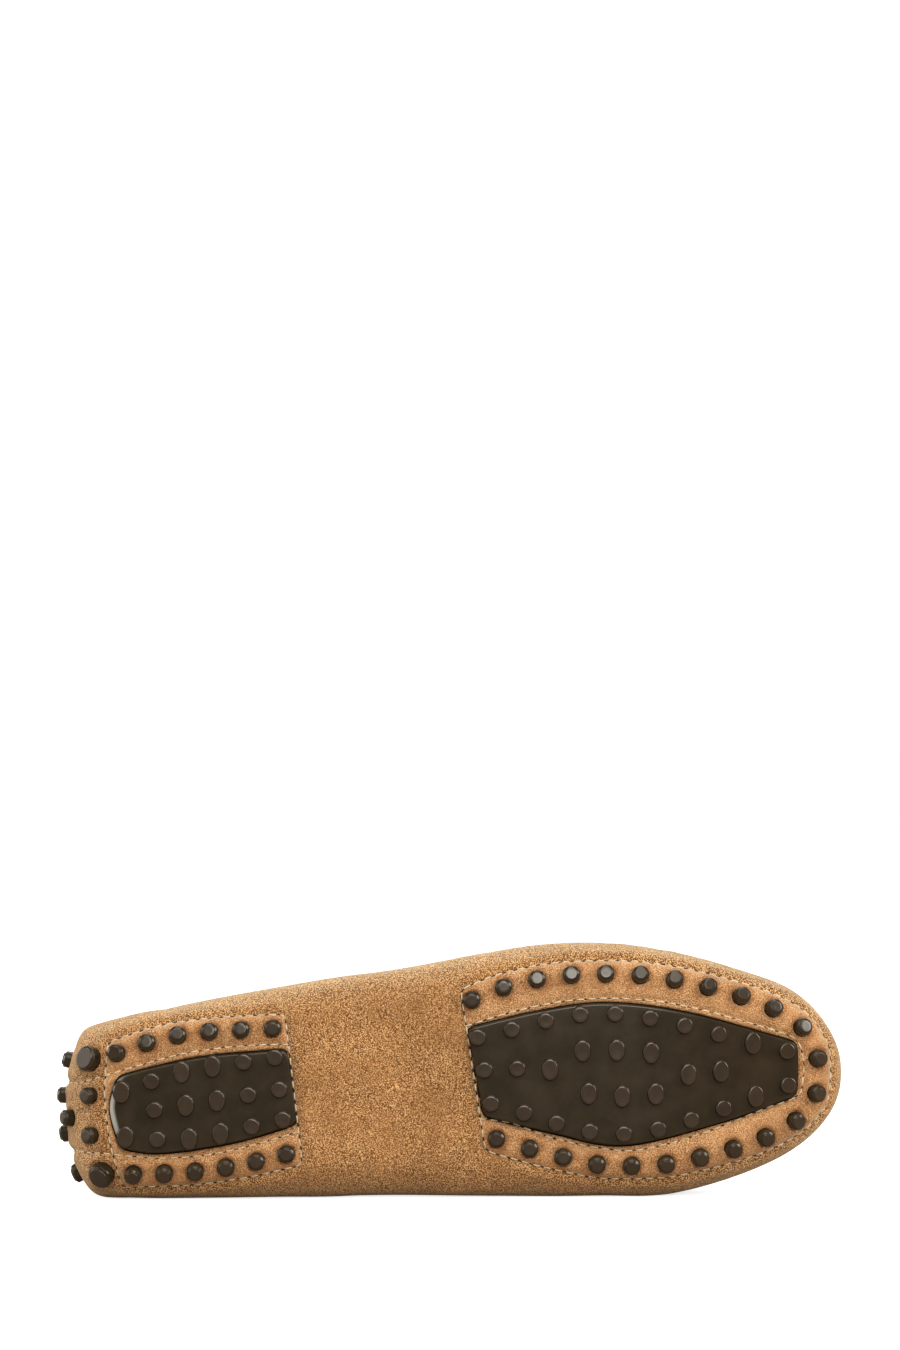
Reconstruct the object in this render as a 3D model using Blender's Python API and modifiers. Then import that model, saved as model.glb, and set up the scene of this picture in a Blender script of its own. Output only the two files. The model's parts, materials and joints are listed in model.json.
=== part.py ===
"""A driving loafer for the right foot, lying on its inner side with its studded sole upright.

The shoe is modelled in its own frame, in millimetres: x runs from the back of the heel to the toe, y points
to the inner (medial) side and z up from the ground that the studs stand on. An empty lays the whole shoe on
its side.
"""

import math
from collections import namedtuple

import bmesh
import bpy
import numpy as np
from mathutils import Matrix, Vector

MM = 0.001

# Driving sizes
LENGTH = 256.0
WALL = 1.8
GAP = 0.35
STUD_REACH = 3.4
PAD_REACH = 1.8
BASE_THICKNESS = 1.0
BASE_MARGIN = 2.0
SOLE_LOW, SOLE_HIGH = -8.0, 18.2
INSOLE_THICKNESS = 1.5
INSOLE_INSET = 11.0
APRON_THICKNESS = 1.1
TOE_SPRING = 10.0
SPRING_START = 185.0
ARCH = 2.5
ARCH_START, ARCH_END = 78.0, 134.0

# How the shoe lies: the sole leans back from upright, and the heel and ball edges share the floor
LEAN_DEG = 3.7
INCLINE_DEG = 0.63

# Sections of the upper, from the heel's centre to the nose. The edges are the widest points of each side, top
# is the height of the collar or, in front of the throat, of the vamp, opening is half the width of the collar,
# and closing goes from an upright wall to a closed vamp.
Section = namedtuple("Section", "x lateral medial top opening closing")
SECTIONS = (
    Section(32, -20.2, 42.7, 52.0, 25.0, 0.0),
    Section(58, -25.4, 42.3, 46.5, 26.5, 0.0),
    Section(85, -30.0, 41.7, 45.0, 28.5, 0.0),
    Section(111, -34.0, 41.3, 48.0, 29.5, 0.1),
    Section(137, -38.9, 41.3, 54.5, 27.5, 0.45),
    Section(152, -41.5, 41.3, 59.5, 23.0, 0.8),
    Section(156, -42.0, 41.3, 60.6, 15.0, 0.9),
    Section(158, -42.2, 41.3, 61.0, 0.0, 1.0),
    Section(177, -42.7, 41.0, 54.5, 0.0, 1.0),
    Section(197, -40.3, 40.6, 47.5, 0.0, 1.0),
    Section(215, -36.4, 36.6, 42.5, 0.0, 1.0),
)
BODY_STATIONS = (32, 46, 60, 76, 92, 108, 123, 137, 146, 152, 156, 158, 170, 184, 199, 215)
HEEL_CENTRE, TOE_CENTRE = SECTIONS[0].x, SECTIONS[-1].x
HEEL_SQUARENESS = 3.0
HEEL_BACK_TOP = 58.0
HEEL_BACK_INSET = 4.0
NOSE_START = 197.0
NOSE_TAPER = 1.3
NOSE_BLUNTNESS = 0.42
SIDE_CORNER, HEEL_CORNER, TOE_CORNER = 13.0, 20.0, 9.5
# The outer wall bulges a little on its way to the collar, and the inner wall is flat, where the shoe lies on it
LATERAL_BULGE, MEDIAL_BULGE = 1.6, 1.0
VAMP_FULLNESS = 0.8
TOE_SLOPE = 0.5
FAN_STEPS = 12
BOTTOM_STEPS, CORNER_STEPS, WALL_STEPS = 3, 4, 7

# Studs: round ones, ovals that are longer across the shoe, and the two large ones at the heel's corners
STUD_RADIUS = 2.8
OVAL_RADIUS = 3.5
LARGE_RADIUS = 4.2
STUD_TAPER = 0.93
STUD_BEVEL = 0.7
STUD_SIDES = 8
PAD_STUD_ROOT = 1.0
PATCH_SOFTNESS, PAD_SOFTNESS = 2, 3
FLAT_DEG = 2.4
STUD_ROOT = WALL + GAP + BASE_THICKNESS / 2

# The forefoot patch of suede: its two sides in front of the rear seam, and the nose between them
FOREFOOT_LATERAL = ((130, -27), (142, -32), (160, -36), (178, -37))
FOREFOOT_MEDIAL = ((178, 35.2), (168, 33.6), (155, 30.7), (138.5, 26))
FOREFOOT_NOSE = (190, 252.8, -36.6, 35.6)
FOREFOOT_BLUNTNESS = 0.36
FOREFOOT_STUDS = 23
FOREFOOT_ENDS = (2.0, 2.4)
FOREFOOT_PAD = (
    ((134.0, -13.5), (157, -19.7), (179, -22.5), (206, -19.2), (240, -9.3)),
    ((240.5, 7.0), (218, 15.5), (184.5, 23.7), (160, 19.5), (138.0, 13.8)),
)

# The heel patch, the pad in it, and the seam where it meets the tab that wraps up the back of the heel. The
# patch's outline runs on behind the seam, which cuts it off.
HEEL_LATERAL = ((13.5, -9.2), (30, -14.6), (47, -17.2), (72, -18.7))
HEEL_MEDIAL = ((78.3, 31), (62, 35), (43, 38.0), (18.6, 39.2))
HEEL_REAR = ((11, 37.8), (6, -5.8))
HEEL_SEAM = ((18.6, 39.2), (14.3, 22), (12.7, 8), (13.5, -9.2))
HEEL_STUDS = 6
HEEL_LATERAL_ENDS = (1.8, 4.2)
HEEL_MEDIAL_ENDS = (4.4, 4.2)
HEEL_PAD = (
    ((17.5, 2.5), (32, -1.3), (48, -4.4), (73.0, -6.6)),
    ((76.3, 17.4), (56, 23.5), (32, 27.2), (19.0, 26)),
    ((16.2, 20.0), (14.6, 12.5), (16.0, 6.0)),
)
TAB_TOP = 38.0
TAB_SHOULDER = 27.0
TAB_SPAN = 1.8
STUD_INSET = 4.7

# Rows of studs on the pads: the curve they follow, how many there are, and which of them are oval
StudRow = namedtuple("StudRow", "curve count ovals")
FOREFOOT_ROWS = (
    StudRow(((135.7, -11.2), (180, -19.3), (237.4, -7.1)), 10, {8}),
    StudRow(((140.2, 10.5), (185.2, 20.2), (237.8, 4.0)), 10, {8}),
    StudRow(((138, -0.5), (148.8, -1.0), (159.6, -0.8)), 3, {2}),
    StudRow(((170.3, -7.0), (181.5, -7.3), (192.8, -6.5)), 3, {0, 1, 2}),
    StudRow(((172.4, 7.0), (183.6, 7.9), (194.4, 7.0)), 3, {0, 1, 2}),
    StudRow(((205, 0.6), (210.3, 0.1), (215.7, -0.5)), 2, {0, 1}),
)
HEEL_ROWS = (
    StudRow(((18.7, 7.4), (38.9, 0.6), (68.9, -4.2)), 6, {0, 2, 3}),
    StudRow(((29.5, 13.2), (50, 10.0), (70.5, 6.3)), 5, {1, 2}),
    StudRow(((20.1, 22.1), (40.9, 22.6), (71.7, 16.1)), 6, {0, 2, 3}),
)
# Studs of the heel tab: round the bottom edge, by place in plan, and up the back, by side position and height
TAB_EDGE_STUDS = ((7.9, -3.3), (8.2, 8.7), (8.7, 21.8), (12.4, 34.2))
TAB_LARGE_STUDS = {0, 3}
TAB_BACK_STUDS = ((16.6, 15.5), (-2.6, 24.5), (8.9, 24.5), (21.6, 24.5), (33.0, 24.5))

# The apron over the vamp, and the tassels tied in front of the throat
APRON_SIDE = ((160.5, -25), (178, -25.5), (200, -23.5), (220, -18), (232, -8))
APRON_LOW = 30.0
KNOT_CENTRE = (170.0, 3.0)
KNOT_RADIUS = 3.2
CORD_RADIUS = 1.2
CORD_LENGTH = 6.0
CORD_SPREAD = 0.32
TASSEL_SIDES = 8
TASSEL_STRIPS = 8
STRIP_SIZE = (1.7, 1.3, 15.0)
STRIP_SUNK = 0.2
STRIP_STAGGER = 0.6
STRIP_BELOW = 1.0
# Half outline of a tassel down its own axis: the bound cap and the core that the strips hang round
TasselRing = namedtuple("TasselRing", "down radius")
TASSEL = (
    TasselRing(0.0, 1.6),
    TasselRing(1.0, 2.4),
    TasselRing(5.5, 3.5),
    TasselRing(6.2, 3.5),
    TasselRing(6.8, 3.0),
    TasselRing(20.0, 3.9),
)

SUEDE = ("tan_suede", (0.46, 0.24, 0.10), 0.95)
RUBBER = ("brown_rubber", (0.040, 0.033, 0.027), 0.55)
LEATHER = ("tan_leather", (0.42, 0.22, 0.10), 0.60)


def smooth_at(xs, values, x):
    """Cubic interpolation through a table's column."""
    slopes = np.gradient(values, xs)
    i = int(np.clip(np.searchsorted(xs, x) - 1, 0, len(xs) - 2))
    span = xs[i + 1] - xs[i]
    t = (x - xs[i]) / span
    rise = values[i + 1] - values[i]
    start, end = slopes[i] * span, slopes[i + 1] * span
    return values[i] + t * start + t * t * (3 * rise - 2 * start - end) + t**3 * (start + end - 2 * rise)


STATIONS = np.array([s.x for s in SECTIONS], float)
COLUMNS = {name: np.array([getattr(s, name) for s in SECTIONS], float) for name in Section._fields}


def nose(x, start, tip, bluntness):
    """Share of the full width that is left at x, between where the nose starts and its tip."""
    t = min(max((x - start) / (tip - start), 0.0), 1.0)
    return (1.0 - t**NOSE_TAPER) ** bluntness


def edge(x, side):
    """The y of the outline at x, on the side named lateral or medial."""
    if x > NOSE_START:
        return smooth_at(STATIONS, COLUMNS[side], NOSE_START) * nose(x, NOSE_START, LENGTH, NOSE_BLUNTNESS)
    return smooth_at(STATIONS, COLUMNS[side], x)


def spine(x):
    return (edge(x, "lateral") + edge(x, "medial")) / 2


def base_height(x):
    """Height of the suede under the middle of the foot, with the toe's spring and the waist's arch."""
    spring = TOE_SPRING * (max(x - SPRING_START, 0.0) / (LENGTH - SPRING_START)) ** 2
    waist = min(max((x - ARCH_START) / (ARCH_END - ARCH_START), 0.0), 1.0)
    return STUD_REACH + spring + ARCH * math.sin(math.pi * waist) ** 2


# A ray is one half section: it starts under the foot at origin and reaches the outline at width along direction
Ray = namedtuple("Ray", "origin direction width corner top opening closing slope")


def body_ray(x, side):
    middle = spine(x)
    width = abs(edge(x, side) - middle)
    opening = np.interp(x, STATIONS, COLUMNS["opening"])
    closing = np.interp(x, STATIONS, COLUMNS["closing"])
    top = smooth_at(STATIONS, COLUMNS["top"], x)
    direction = np.array((0.0, 1.0 if side == "medial" else -1.0))
    return Ray(np.array((x, middle)), direction, width, SIDE_CORNER, top, opening, closing, 0.0)


def heel_ray(direction):
    heel = SECTIONS[0]
    across = (heel.medial - heel.lateral) / 2
    reach = (abs(direction[0] / heel.x) ** HEEL_SQUARENESS + abs(direction[1] / across) ** HEEL_SQUARENESS)
    width = reach ** (-1 / HEEL_SQUARENESS)
    back = direction[0] ** 2
    corner = SIDE_CORNER + (HEEL_CORNER - SIDE_CORNER) * back
    top = heel.top + (HEEL_BACK_TOP - heel.top) * math.acos(min(abs(direction[1]), 1.0)) / (math.pi / 2)
    inset = (across - heel.opening) * (1 - back) + HEEL_BACK_INSET * back
    return Ray(np.array((heel.x, spine(heel.x))), direction, width, corner, top, width - inset, 0.0, 0.0)


def toe_outline():
    """Angle and distance of the toe's outline, seen from the toe's centre."""
    xs = TOE_CENTRE + (LENGTH - TOE_CENTRE) * np.sin(np.linspace(0, math.pi / 2, 40))
    lateral = [(x - TOE_CENTRE, edge(x, "lateral") - spine(TOE_CENTRE)) for x in xs]
    medial = [(x - TOE_CENTRE, edge(x, "medial") - spine(TOE_CENTRE)) for x in xs[::-1]]
    points = np.array(lateral + medial[1:])
    return np.arctan2(points[:, 1], points[:, 0]), np.hypot(points[:, 0], points[:, 1])


TOE_ANGLES, TOE_REACH = toe_outline()


def toe_ray(direction):
    width = float(np.interp(math.atan2(direction[1], direction[0]), TOE_ANGLES, TOE_REACH))
    ahead = direction[0] ** 2
    corner = SIDE_CORNER + (TOE_CORNER - SIDE_CORNER) * ahead
    origin = np.array((TOE_CENTRE, spine(TOE_CENTRE)))
    return Ray(origin, direction, width, corner, SECTIONS[-1].top, 0.0, 1.0, TOE_SLOPE * ahead)


def ray_through(x, y):
    """The half section that passes over a point of the plan."""
    centre = min(max(x, HEEL_CENTRE), TOE_CENTRE)
    across = np.array((x - centre, y - spine(centre)))
    if x < HEEL_CENTRE:
        return heel_ray(across / np.linalg.norm(across))
    if x > TOE_CENTRE:
        return toe_ray(across / np.linalg.norm(across))
    return body_ray(x, "medial" if across[1] > 0 else "lateral")


def corner_rise(ray, r):
    """How far the rounded edge of the sole has risen at r along the ray."""
    past = min(max(r - (ray.width - ray.corner), 0.0), ray.corner)
    return ray.corner - math.sqrt(ray.corner**2 - past**2)


def sole_point(x, y):
    """The point of the suede under the foot at a place in plan."""
    ray = ray_through(x, y)
    r = float(np.dot(np.array((x, y)) - ray.origin, ray.direction))
    return np.array((x, y, base_height(x) + corner_rise(ray, r)))


def wall_point(ray, t):
    """The point at t from the rounded edge, 0, to the collar or the top of the vamp, 1."""
    turn = t * math.pi / 2
    fullness = VAMP_FULLNESS + (1 - VAMP_FULLNESS) * ray.slope
    vamp_in = 1 - max(math.cos(turn), 0.0) ** fullness
    vamp_up = (1 - ray.slope) * math.sin(turn) ** fullness + ray.slope * vamp_in
    bulge = LATERAL_BULGE + (MEDIAL_BULGE - LATERAL_BULGE) * (1 + ray.direction[1]) / 2
    inward = ray.closing * vamp_in + (1 - ray.closing) * t**bulge
    upward = ray.closing * vamp_up + (1 - ray.closing) * t
    r = ray.width - (ray.width - ray.opening) * inward
    plan = ray.origin + r * ray.direction
    foot = base_height(float((ray.origin + ray.width * ray.direction)[0])) + ray.corner
    return np.array((plan[0], plan[1], foot + (ray.top - foot) * upward))


def profile(ray):
    """Points of a half section, from under the foot to the collar or the top of the vamp."""
    flat = np.linspace(0, ray.width - ray.corner, BOTTOM_STEPS + 1)[:-1]
    turns = np.linspace(0, math.pi / 2, CORNER_STEPS + 1)[:-1]
    radii = [*flat, *(ray.width - ray.corner + ray.corner * np.sin(turns))]
    points = []
    for r in radii:
        plan = ray.origin + r * ray.direction
        points.append(np.array((plan[0], plan[1], base_height(float(plan[0])) + corner_rise(ray, r))))
    return points + [wall_point(ray, t) for t in np.linspace(0, 1, WALL_STEPS + 1)]


def all_rays():
    """Half sections in order round the shoe: inner side, toe, outer side, heel."""
    fan = np.linspace(math.pi / 2, -math.pi / 2, FAN_STEPS + 1)[1:-1]
    medial = [body_ray(x, "medial") for x in BODY_STATIONS]
    toe = [toe_ray(np.array((math.cos(a), math.sin(a)))) for a in fan]
    lateral = [body_ray(x, "lateral") for x in reversed(BODY_STATIONS)]
    heel = [heel_ray(np.array((-math.cos(a), -math.sin(a)))) for a in fan]
    return medial + toe + lateral + heel


def make_material(name, colour, roughness):
    material = bpy.data.materials.new(name)
    material.use_nodes = True
    shader = material.node_tree.nodes["Principled BSDF"]
    shader.inputs["Base Color"].default_value = (*colour, 1.0)
    shader.inputs["Roughness"].default_value = roughness
    return material


def make_object(name, bm, collection):
    """A mesh object from a bmesh in millimetres."""
    bmesh.ops.scale(bm, vec=(MM, MM, MM), verts=bm.verts)
    mesh = bpy.data.meshes.new(name)
    bm.to_mesh(mesh)
    bm.free()
    obj = bpy.data.objects.new(name, mesh)
    collection.objects.link(obj)
    return obj


def skin(name, depth, thickness, collection):
    """A shell of the whole upper's form: its outer face lies depth inside the suede's own outer face."""
    bm = bmesh.new()
    rows = [[bm.verts.new(p) for p in profile(ray)] for ray in all_rays()]
    for row, following in zip(rows, rows[1:] + rows[:1]):
        for a, b, c, d in zip(row, row[1:], following[1:], following):
            bm.faces.new((a, b, c, d))
    bmesh.ops.remove_doubles(bm, verts=bm.verts, dist=0.01)
    bmesh.ops.recalc_face_normals(bm, faces=bm.faces)
    bm.normal_update()
    lowest = min(bm.faces, key=lambda face: face.calc_center_median().z)
    if lowest.normal.z > 0:
        bmesh.ops.reverse_faces(bm, faces=bm.faces)
        bm.normal_update()
    moves = [(v, v.normal * -depth) for v in bm.verts]
    for vert, move in moves:
        vert.co += move
    obj = make_object(name, bm, collection)
    solidify = obj.modifiers.new("wall", "SOLIDIFY")
    solidify.thickness = thickness * MM
    solidify.offset = -1
    solidify.use_even_offset = True
    return obj


def smooth_path(points, spacing=1.0):
    """Points about spacing apart on a curve through the given ones."""
    p = np.array(points, float)
    ends = np.vstack((2 * p[0] - p[1], p, 2 * p[-1] - p[-2]))
    found = []
    for a, b, c, d in zip(ends, ends[1:], ends[2:], ends[3:]):
        for t in np.linspace(0, 1, 24, endpoint=False):
            swing = 2 * a - 5 * b + 4 * c - d
            found.append(b + 0.5 * t * (c - a + t * (swing + t * (3 * (b - c) + d - a))))
    return resample(np.array(found + [p[-1]]), spacing)


def along(path):
    """Distance run at each point of a path."""
    return np.concatenate(([0], np.cumsum(np.hypot(*np.diff(path, axis=0).T))))


def pick(path, distances):
    run = along(path)
    return np.column_stack((np.interp(distances, run, path[:, 0]), np.interp(distances, run, path[:, 1])))


def resample(path, spacing):
    length = along(path)[-1]
    return pick(path, np.linspace(0, length, max(2, round(length / spacing)) + 1))


def evenly(path, count):
    """Count points spread evenly over a path, ends included."""
    return pick(path, np.linspace(0, along(path)[-1], count))


def offset(path, distance, closed):
    """A path moved to the left of its own direction."""
    if closed:
        step = np.roll(path, -1, axis=0) - np.roll(path, 1, axis=0)
    else:
        step = np.gradient(path, axis=0)
    step = step / np.hypot(step[:, 0], step[:, 1])[:, None]
    return path + distance * np.column_stack((-step[:, 1], step[:, 0]))


def closed_outline(sides, corner, spacing=5.0):
    """Sides joined into one outline with softened corners. It runs so that its left is inside."""
    ring = np.vstack(sides)
    ring = resample(np.vstack((ring, ring[:1])), 1.0)[:-1]
    ring = sum(np.roll(ring, k, axis=0) for k in range(-corner, corner + 1)) / (2 * corner + 1)
    ring = resample(np.vstack((ring, ring[:1])), spacing)[:-1]
    area = np.sum(ring[:, 0] * np.roll(ring[:, 1], -1) - np.roll(ring[:, 0], -1) * ring[:, 1])
    return ring if area > 0 else ring[::-1]


def forefoot_side():
    """The forefoot patch's seam from the outer rear corner round the toe to the inner rear corner."""
    start, tip, lateral, medial = FOREFOOT_NOSE
    xs = start + (tip - start) * np.sin(np.linspace(0, math.pi / 2, 30))
    outer = [(x, lateral * nose(x, start, tip, FOREFOOT_BLUNTNESS)) for x in xs]
    inner = [(x, medial * nose(x, start, tip, FOREFOOT_BLUNTNESS)) for x in xs[-2::-1]]
    return smooth_path((*FOREFOOT_LATERAL, *outer[::3], *inner[2::3], *FOREFOOT_MEDIAL))


def prism(name, outline, low, high, collection):
    """An upright solid over an outline of the plan."""
    bm = bmesh.new()
    face = bm.faces.new([bm.verts.new((x, y, low)) for x, y in outline])
    grown = bmesh.ops.extrude_face_region(bm, geom=[face])
    raised = [v for v in grown["geom"] if isinstance(v, bmesh.types.BMVert)]
    bmesh.ops.translate(bm, verts=raised, vec=(0, 0, high - low))
    bmesh.ops.recalc_face_normals(bm, faces=bm.faces)
    return make_object(name, bm, collection)


def tab_region(name, margin, collection):
    """The volume behind the heel seam and under an arched top, which the heel tab is cut from."""
    seam = offset(smooth_path(HEEL_SEAM, 4.0), margin, closed=False)
    beyond = 30.0
    first, last = seam[0], seam[-1]
    plan = [(first[0], first[1] + beyond), *seam, (last[0], last[1] - beyond)]
    plan += [(-beyond, last[1] - beyond), (-beyond, first[1] + beyond)]
    region = prism(name, plan, -beyond, TAB_TOP + beyond, collection)
    middle, half = spine(HEEL_CENTRE), (SECTIONS[0].medial - SECTIONS[0].lateral) / 2
    shares = np.linspace(TAB_SPAN, -TAB_SPAN, 19)
    outline = [(middle + half * s, TAB_TOP - (TAB_TOP - TAB_SHOULDER) * s * s + margin) for s in shares]
    outline += [(middle - TAB_SPAN * half, -2 * beyond), (middle + TAB_SPAN * half, -2 * beyond)]
    top = prism(name + "_arch", outline, -2 * beyond, 2 * beyond, collection)
    # The prism stands on (y, z) as its plan, so turn it to face along x
    top.data.transform(Matrix(((0, 0, 1, 0), (1, 0, 0, 0), (0, 1, 0, 0), (0, 0, 0, 1))))
    return combine(region, "INTERSECT", top)


def combine(obj, operation, *others):
    """Cuts, joins or intersects an object with others, which are used up. The result is a plain mesh."""
    for other in others:
        modifier = obj.modifiers.new(other.name, "BOOLEAN")
        modifier.operation = operation
        modifier.object = other
        modifier.solver = "EXACT"
    bpy.context.view_layer.update()
    evaluated = obj.evaluated_get(bpy.context.evaluated_depsgraph_get())
    mesh = bpy.data.meshes.new_from_object(evaluated)
    obj.modifiers.clear()
    obj.data = mesh
    for other in others:
        bpy.data.objects.remove(other)
    return obj


def merge_flats(obj):
    """Merges neighbouring faces that lie almost in one plane."""
    bm = bmesh.new()
    bm.from_mesh(obj.data)
    bmesh.ops.dissolve_limit(bm, angle_limit=math.radians(FLAT_DEG), verts=bm.verts, edges=bm.edges)
    bmesh.ops.triangulate(bm, faces=bm.faces)
    bm.to_mesh(obj.data)
    bm.free()


def surface_normal(point_at, u, v, step=0.2):
    """Outward normal of a surface given by two coordinates."""
    du = point_at(u + step, v) - point_at(u - step, v)
    dv = point_at(u, v + step) - point_at(u, v - step)
    normal = np.cross(du, dv)
    return normal / np.linalg.norm(normal)


def back_point(y, z):
    """The point of the heel's back at a side position and height, above the rounded edge or on it."""
    heel = SECTIONS[0]
    across = (y - spine(heel.x)) / ((heel.medial - heel.lateral) / 2)
    back = heel.x * (1 - abs(across) ** HEEL_SQUARENESS) ** (1 / HEEL_SQUARENESS)
    direction = np.array((-back, y - spine(heel.x)))
    ray = heel_ray(direction / np.linalg.norm(direction))
    height = z - STUD_REACH
    if height < ray.corner:
        r = ray.width - ray.corner + math.sqrt(ray.corner**2 - (ray.corner - height) ** 2)
        plan = ray.origin + r * ray.direction
        return np.array((plan[0], plan[1], z))
    return wall_point(ray, (height - ray.corner) / (ray.top - STUD_REACH - ray.corner))


# A stud stands on a point of the suede along a normal. Root and reach count from the suede's outer face.
Stud = namedtuple("Stud", "point normal radius across root reach")


def sole_stud(x, y, radius, across, root, reach):
    normal = surface_normal(sole_point, x, y)
    return Stud(sole_point(x, y), normal if normal[2] < 0 else -normal, radius, across, root, reach)


def back_stud(y, z):
    normal = surface_normal(back_point, y, z)
    outward = normal if normal[0] < 0 else -normal
    return Stud(back_point(y, z), outward, STUD_RADIUS, STUD_RADIUS, STUD_ROOT, STUD_REACH)


def edge_studs(side, count, ends):
    """Round studs evenly along a patch's side, which stand through the suede from the rubber inside."""
    path = offset(side, STUD_INSET, closed=False)
    spots = pick(path, np.linspace(ends[0], along(path)[-1] - ends[1], count))
    return [sole_stud(x, y, STUD_RADIUS, STUD_RADIUS, STUD_ROOT, STUD_REACH) for x, y in spots]


def tab_studs():
    """Studs round the heel's bottom edge and up its back."""
    found = []
    for i, (x, y) in enumerate(TAB_EDGE_STUDS):
        radius = LARGE_RADIUS if i in TAB_LARGE_STUDS else STUD_RADIUS
        found.append(sole_stud(x, y, radius, radius, STUD_ROOT, STUD_REACH))
    return found + [back_stud(y, z) for y, z in TAB_BACK_STUDS]


def pad_studs(rows):
    """Low studs on a pad, in rows."""
    found = []
    for row in rows:
        for i, (x, y) in enumerate(evenly(smooth_path(row.curve), row.count)):
            across = OVAL_RADIUS if i in row.ovals else STUD_RADIUS
            found.append(sole_stud(x, y, STUD_RADIUS, across, PAD_STUD_ROOT - PAD_REACH, STUD_REACH))
    return found


def stud_solids(name, studs, grow, bevel, collection):
    """All the studs of a list as one mesh of separate solids, to be joined to a piece or cut from it."""
    bm = bmesh.new()
    for stud in studs:
        part = bmesh.new()
        height = stud.reach + stud.root
        tip = STUD_TAPER if grow == 0 else 1.0
        bmesh.ops.create_cone(
            part, cap_ends=True, segments=STUD_SIDES, radius1=1.0, radius2=tip, depth=height + 2 * grow
        )
        sizes = (stud.radius + grow, stud.across + grow, 1.0)
        bmesh.ops.scale(part, vec=sizes, verts=part.verts)
        if bevel:
            rim = [e for e in part.edges if all(v.co.z > 0 for v in e.verts)]
            bmesh.ops.bevel(part, geom=rim, offset=bevel, segments=1, affect="EDGES")
        turn = Vector(stud.normal).to_track_quat("Z", "Y").to_matrix().to_4x4()
        if abs(stud.normal[2]) > 0.5:
            turn = upright_turn(stud.normal)
        middle = Vector(stud.point) + Vector(stud.normal) * (stud.reach - stud.root) / 2
        bmesh.ops.transform(part, matrix=Matrix.Translation(middle) @ turn, verts=part.verts)
        mesh = bpy.data.meshes.new("stud")
        part.to_mesh(mesh)
        part.free()
        bm.from_mesh(mesh)
        bpy.data.meshes.remove(mesh)
    return make_object(name, bm, collection)


def upright_turn(normal):
    """A rotation that points z along a normal and keeps the local y across the shoe."""
    up = Vector(normal)
    length_axis = Vector((0, 1, 0)).cross(up).normalized()
    across = up.cross(length_axis)
    return Matrix((length_axis, across, up)).transposed().to_4x4()


def shoe_outline():
    """The whole outline of the shoe in plan."""
    return np.array([ray.origin + ray.width * ray.direction for ray in all_rays()])


def tread(name, base_region, pad_outline, low_studs, tall_studs, parts, cutters):
    """A rubber sheet inside the suede with a raised pad, low studs on it and tall ones through the suede."""
    base_depth = WALL + GAP
    unit = combine(skin(name, base_depth, BASE_THICKNESS, parts), "INTERSECT", base_region)
    pad_root = base_depth + BASE_THICKNESS / 2
    pad = skin(name + "_pad", -PAD_REACH, PAD_REACH + pad_root, cutters)
    combine(pad, "INTERSECT", prism(name + "_pad_outline", pad_outline, SOLE_LOW, SOLE_HIGH, cutters))
    low = stud_solids(name + "_low_studs", low_studs, 0.0, 0.0, cutters)
    tall = stud_solids(name + "_tall_studs", tall_studs, 0.0, STUD_BEVEL, cutters)
    return combine(unit, "UNION", pad, low, tall)


def tassel(name, top, axis, parts, cutters):
    """A tassel that hangs from top along axis: a turned cap and core with leather strips joined round it."""
    bm = bmesh.new()
    edges = []
    ring = [bm.verts.new((0, 0, TASSEL[0].down))]
    ring += [bm.verts.new((row.radius, 0, row.down)) for row in TASSEL]
    ring += [bm.verts.new((0, 0, TASSEL[-1].down))]
    for a, b in zip(ring, ring[1:]):
        edges.append(bm.edges.new((a, b)))
    bmesh.ops.spin(bm, geom=ring + edges, axis=(0, 0, 1), cent=(0, 0, 0), steps=TASSEL_SIDES, angle=2 * math.pi)
    bmesh.ops.remove_doubles(bm, verts=bm.verts, dist=0.01)
    bmesh.ops.recalc_face_normals(bm, faces=bm.faces)
    core = make_object(name, bm, parts)
    strips = bmesh.new()
    for k in range(TASSEL_STRIPS):
        made = bmesh.ops.create_cube(strips, size=1.0)
        down = TASSEL[-1].down - STRIP_SIZE[2] / 2 + STRIP_BELOW + STRIP_STAGGER * (k % 3)
        place = Matrix.Translation((TASSEL[-1].radius - STRIP_SUNK, 0, down))
        shift = place @ Matrix.Diagonal((*STRIP_SIZE, 1.0))
        turn = Matrix.Rotation(2 * math.pi * k / TASSEL_STRIPS, 4, "Z")
        bmesh.ops.transform(strips, matrix=turn @ shift, verts=made["verts"])
    combine(core, "UNION", make_object(name + "_strips", strips, cutters))
    turn = axis.to_track_quat("Z", "Y").to_matrix().to_4x4()
    core.data.transform(Matrix.Translation(top * MM) @ turn)
    return core


def rod(name, start, end, radius, collection):
    bm = bmesh.new()
    length = (end - start).length
    bmesh.ops.create_cone(bm, cap_ends=True, segments=8, radius1=radius, radius2=radius, depth=length)
    turn = (end - start).to_track_quat("Z", "Y").to_matrix().to_4x4()
    bmesh.ops.transform(bm, matrix=Matrix.Translation((start + end) / 2) @ turn, verts=bm.verts)
    return make_object(name, bm, collection)


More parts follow.
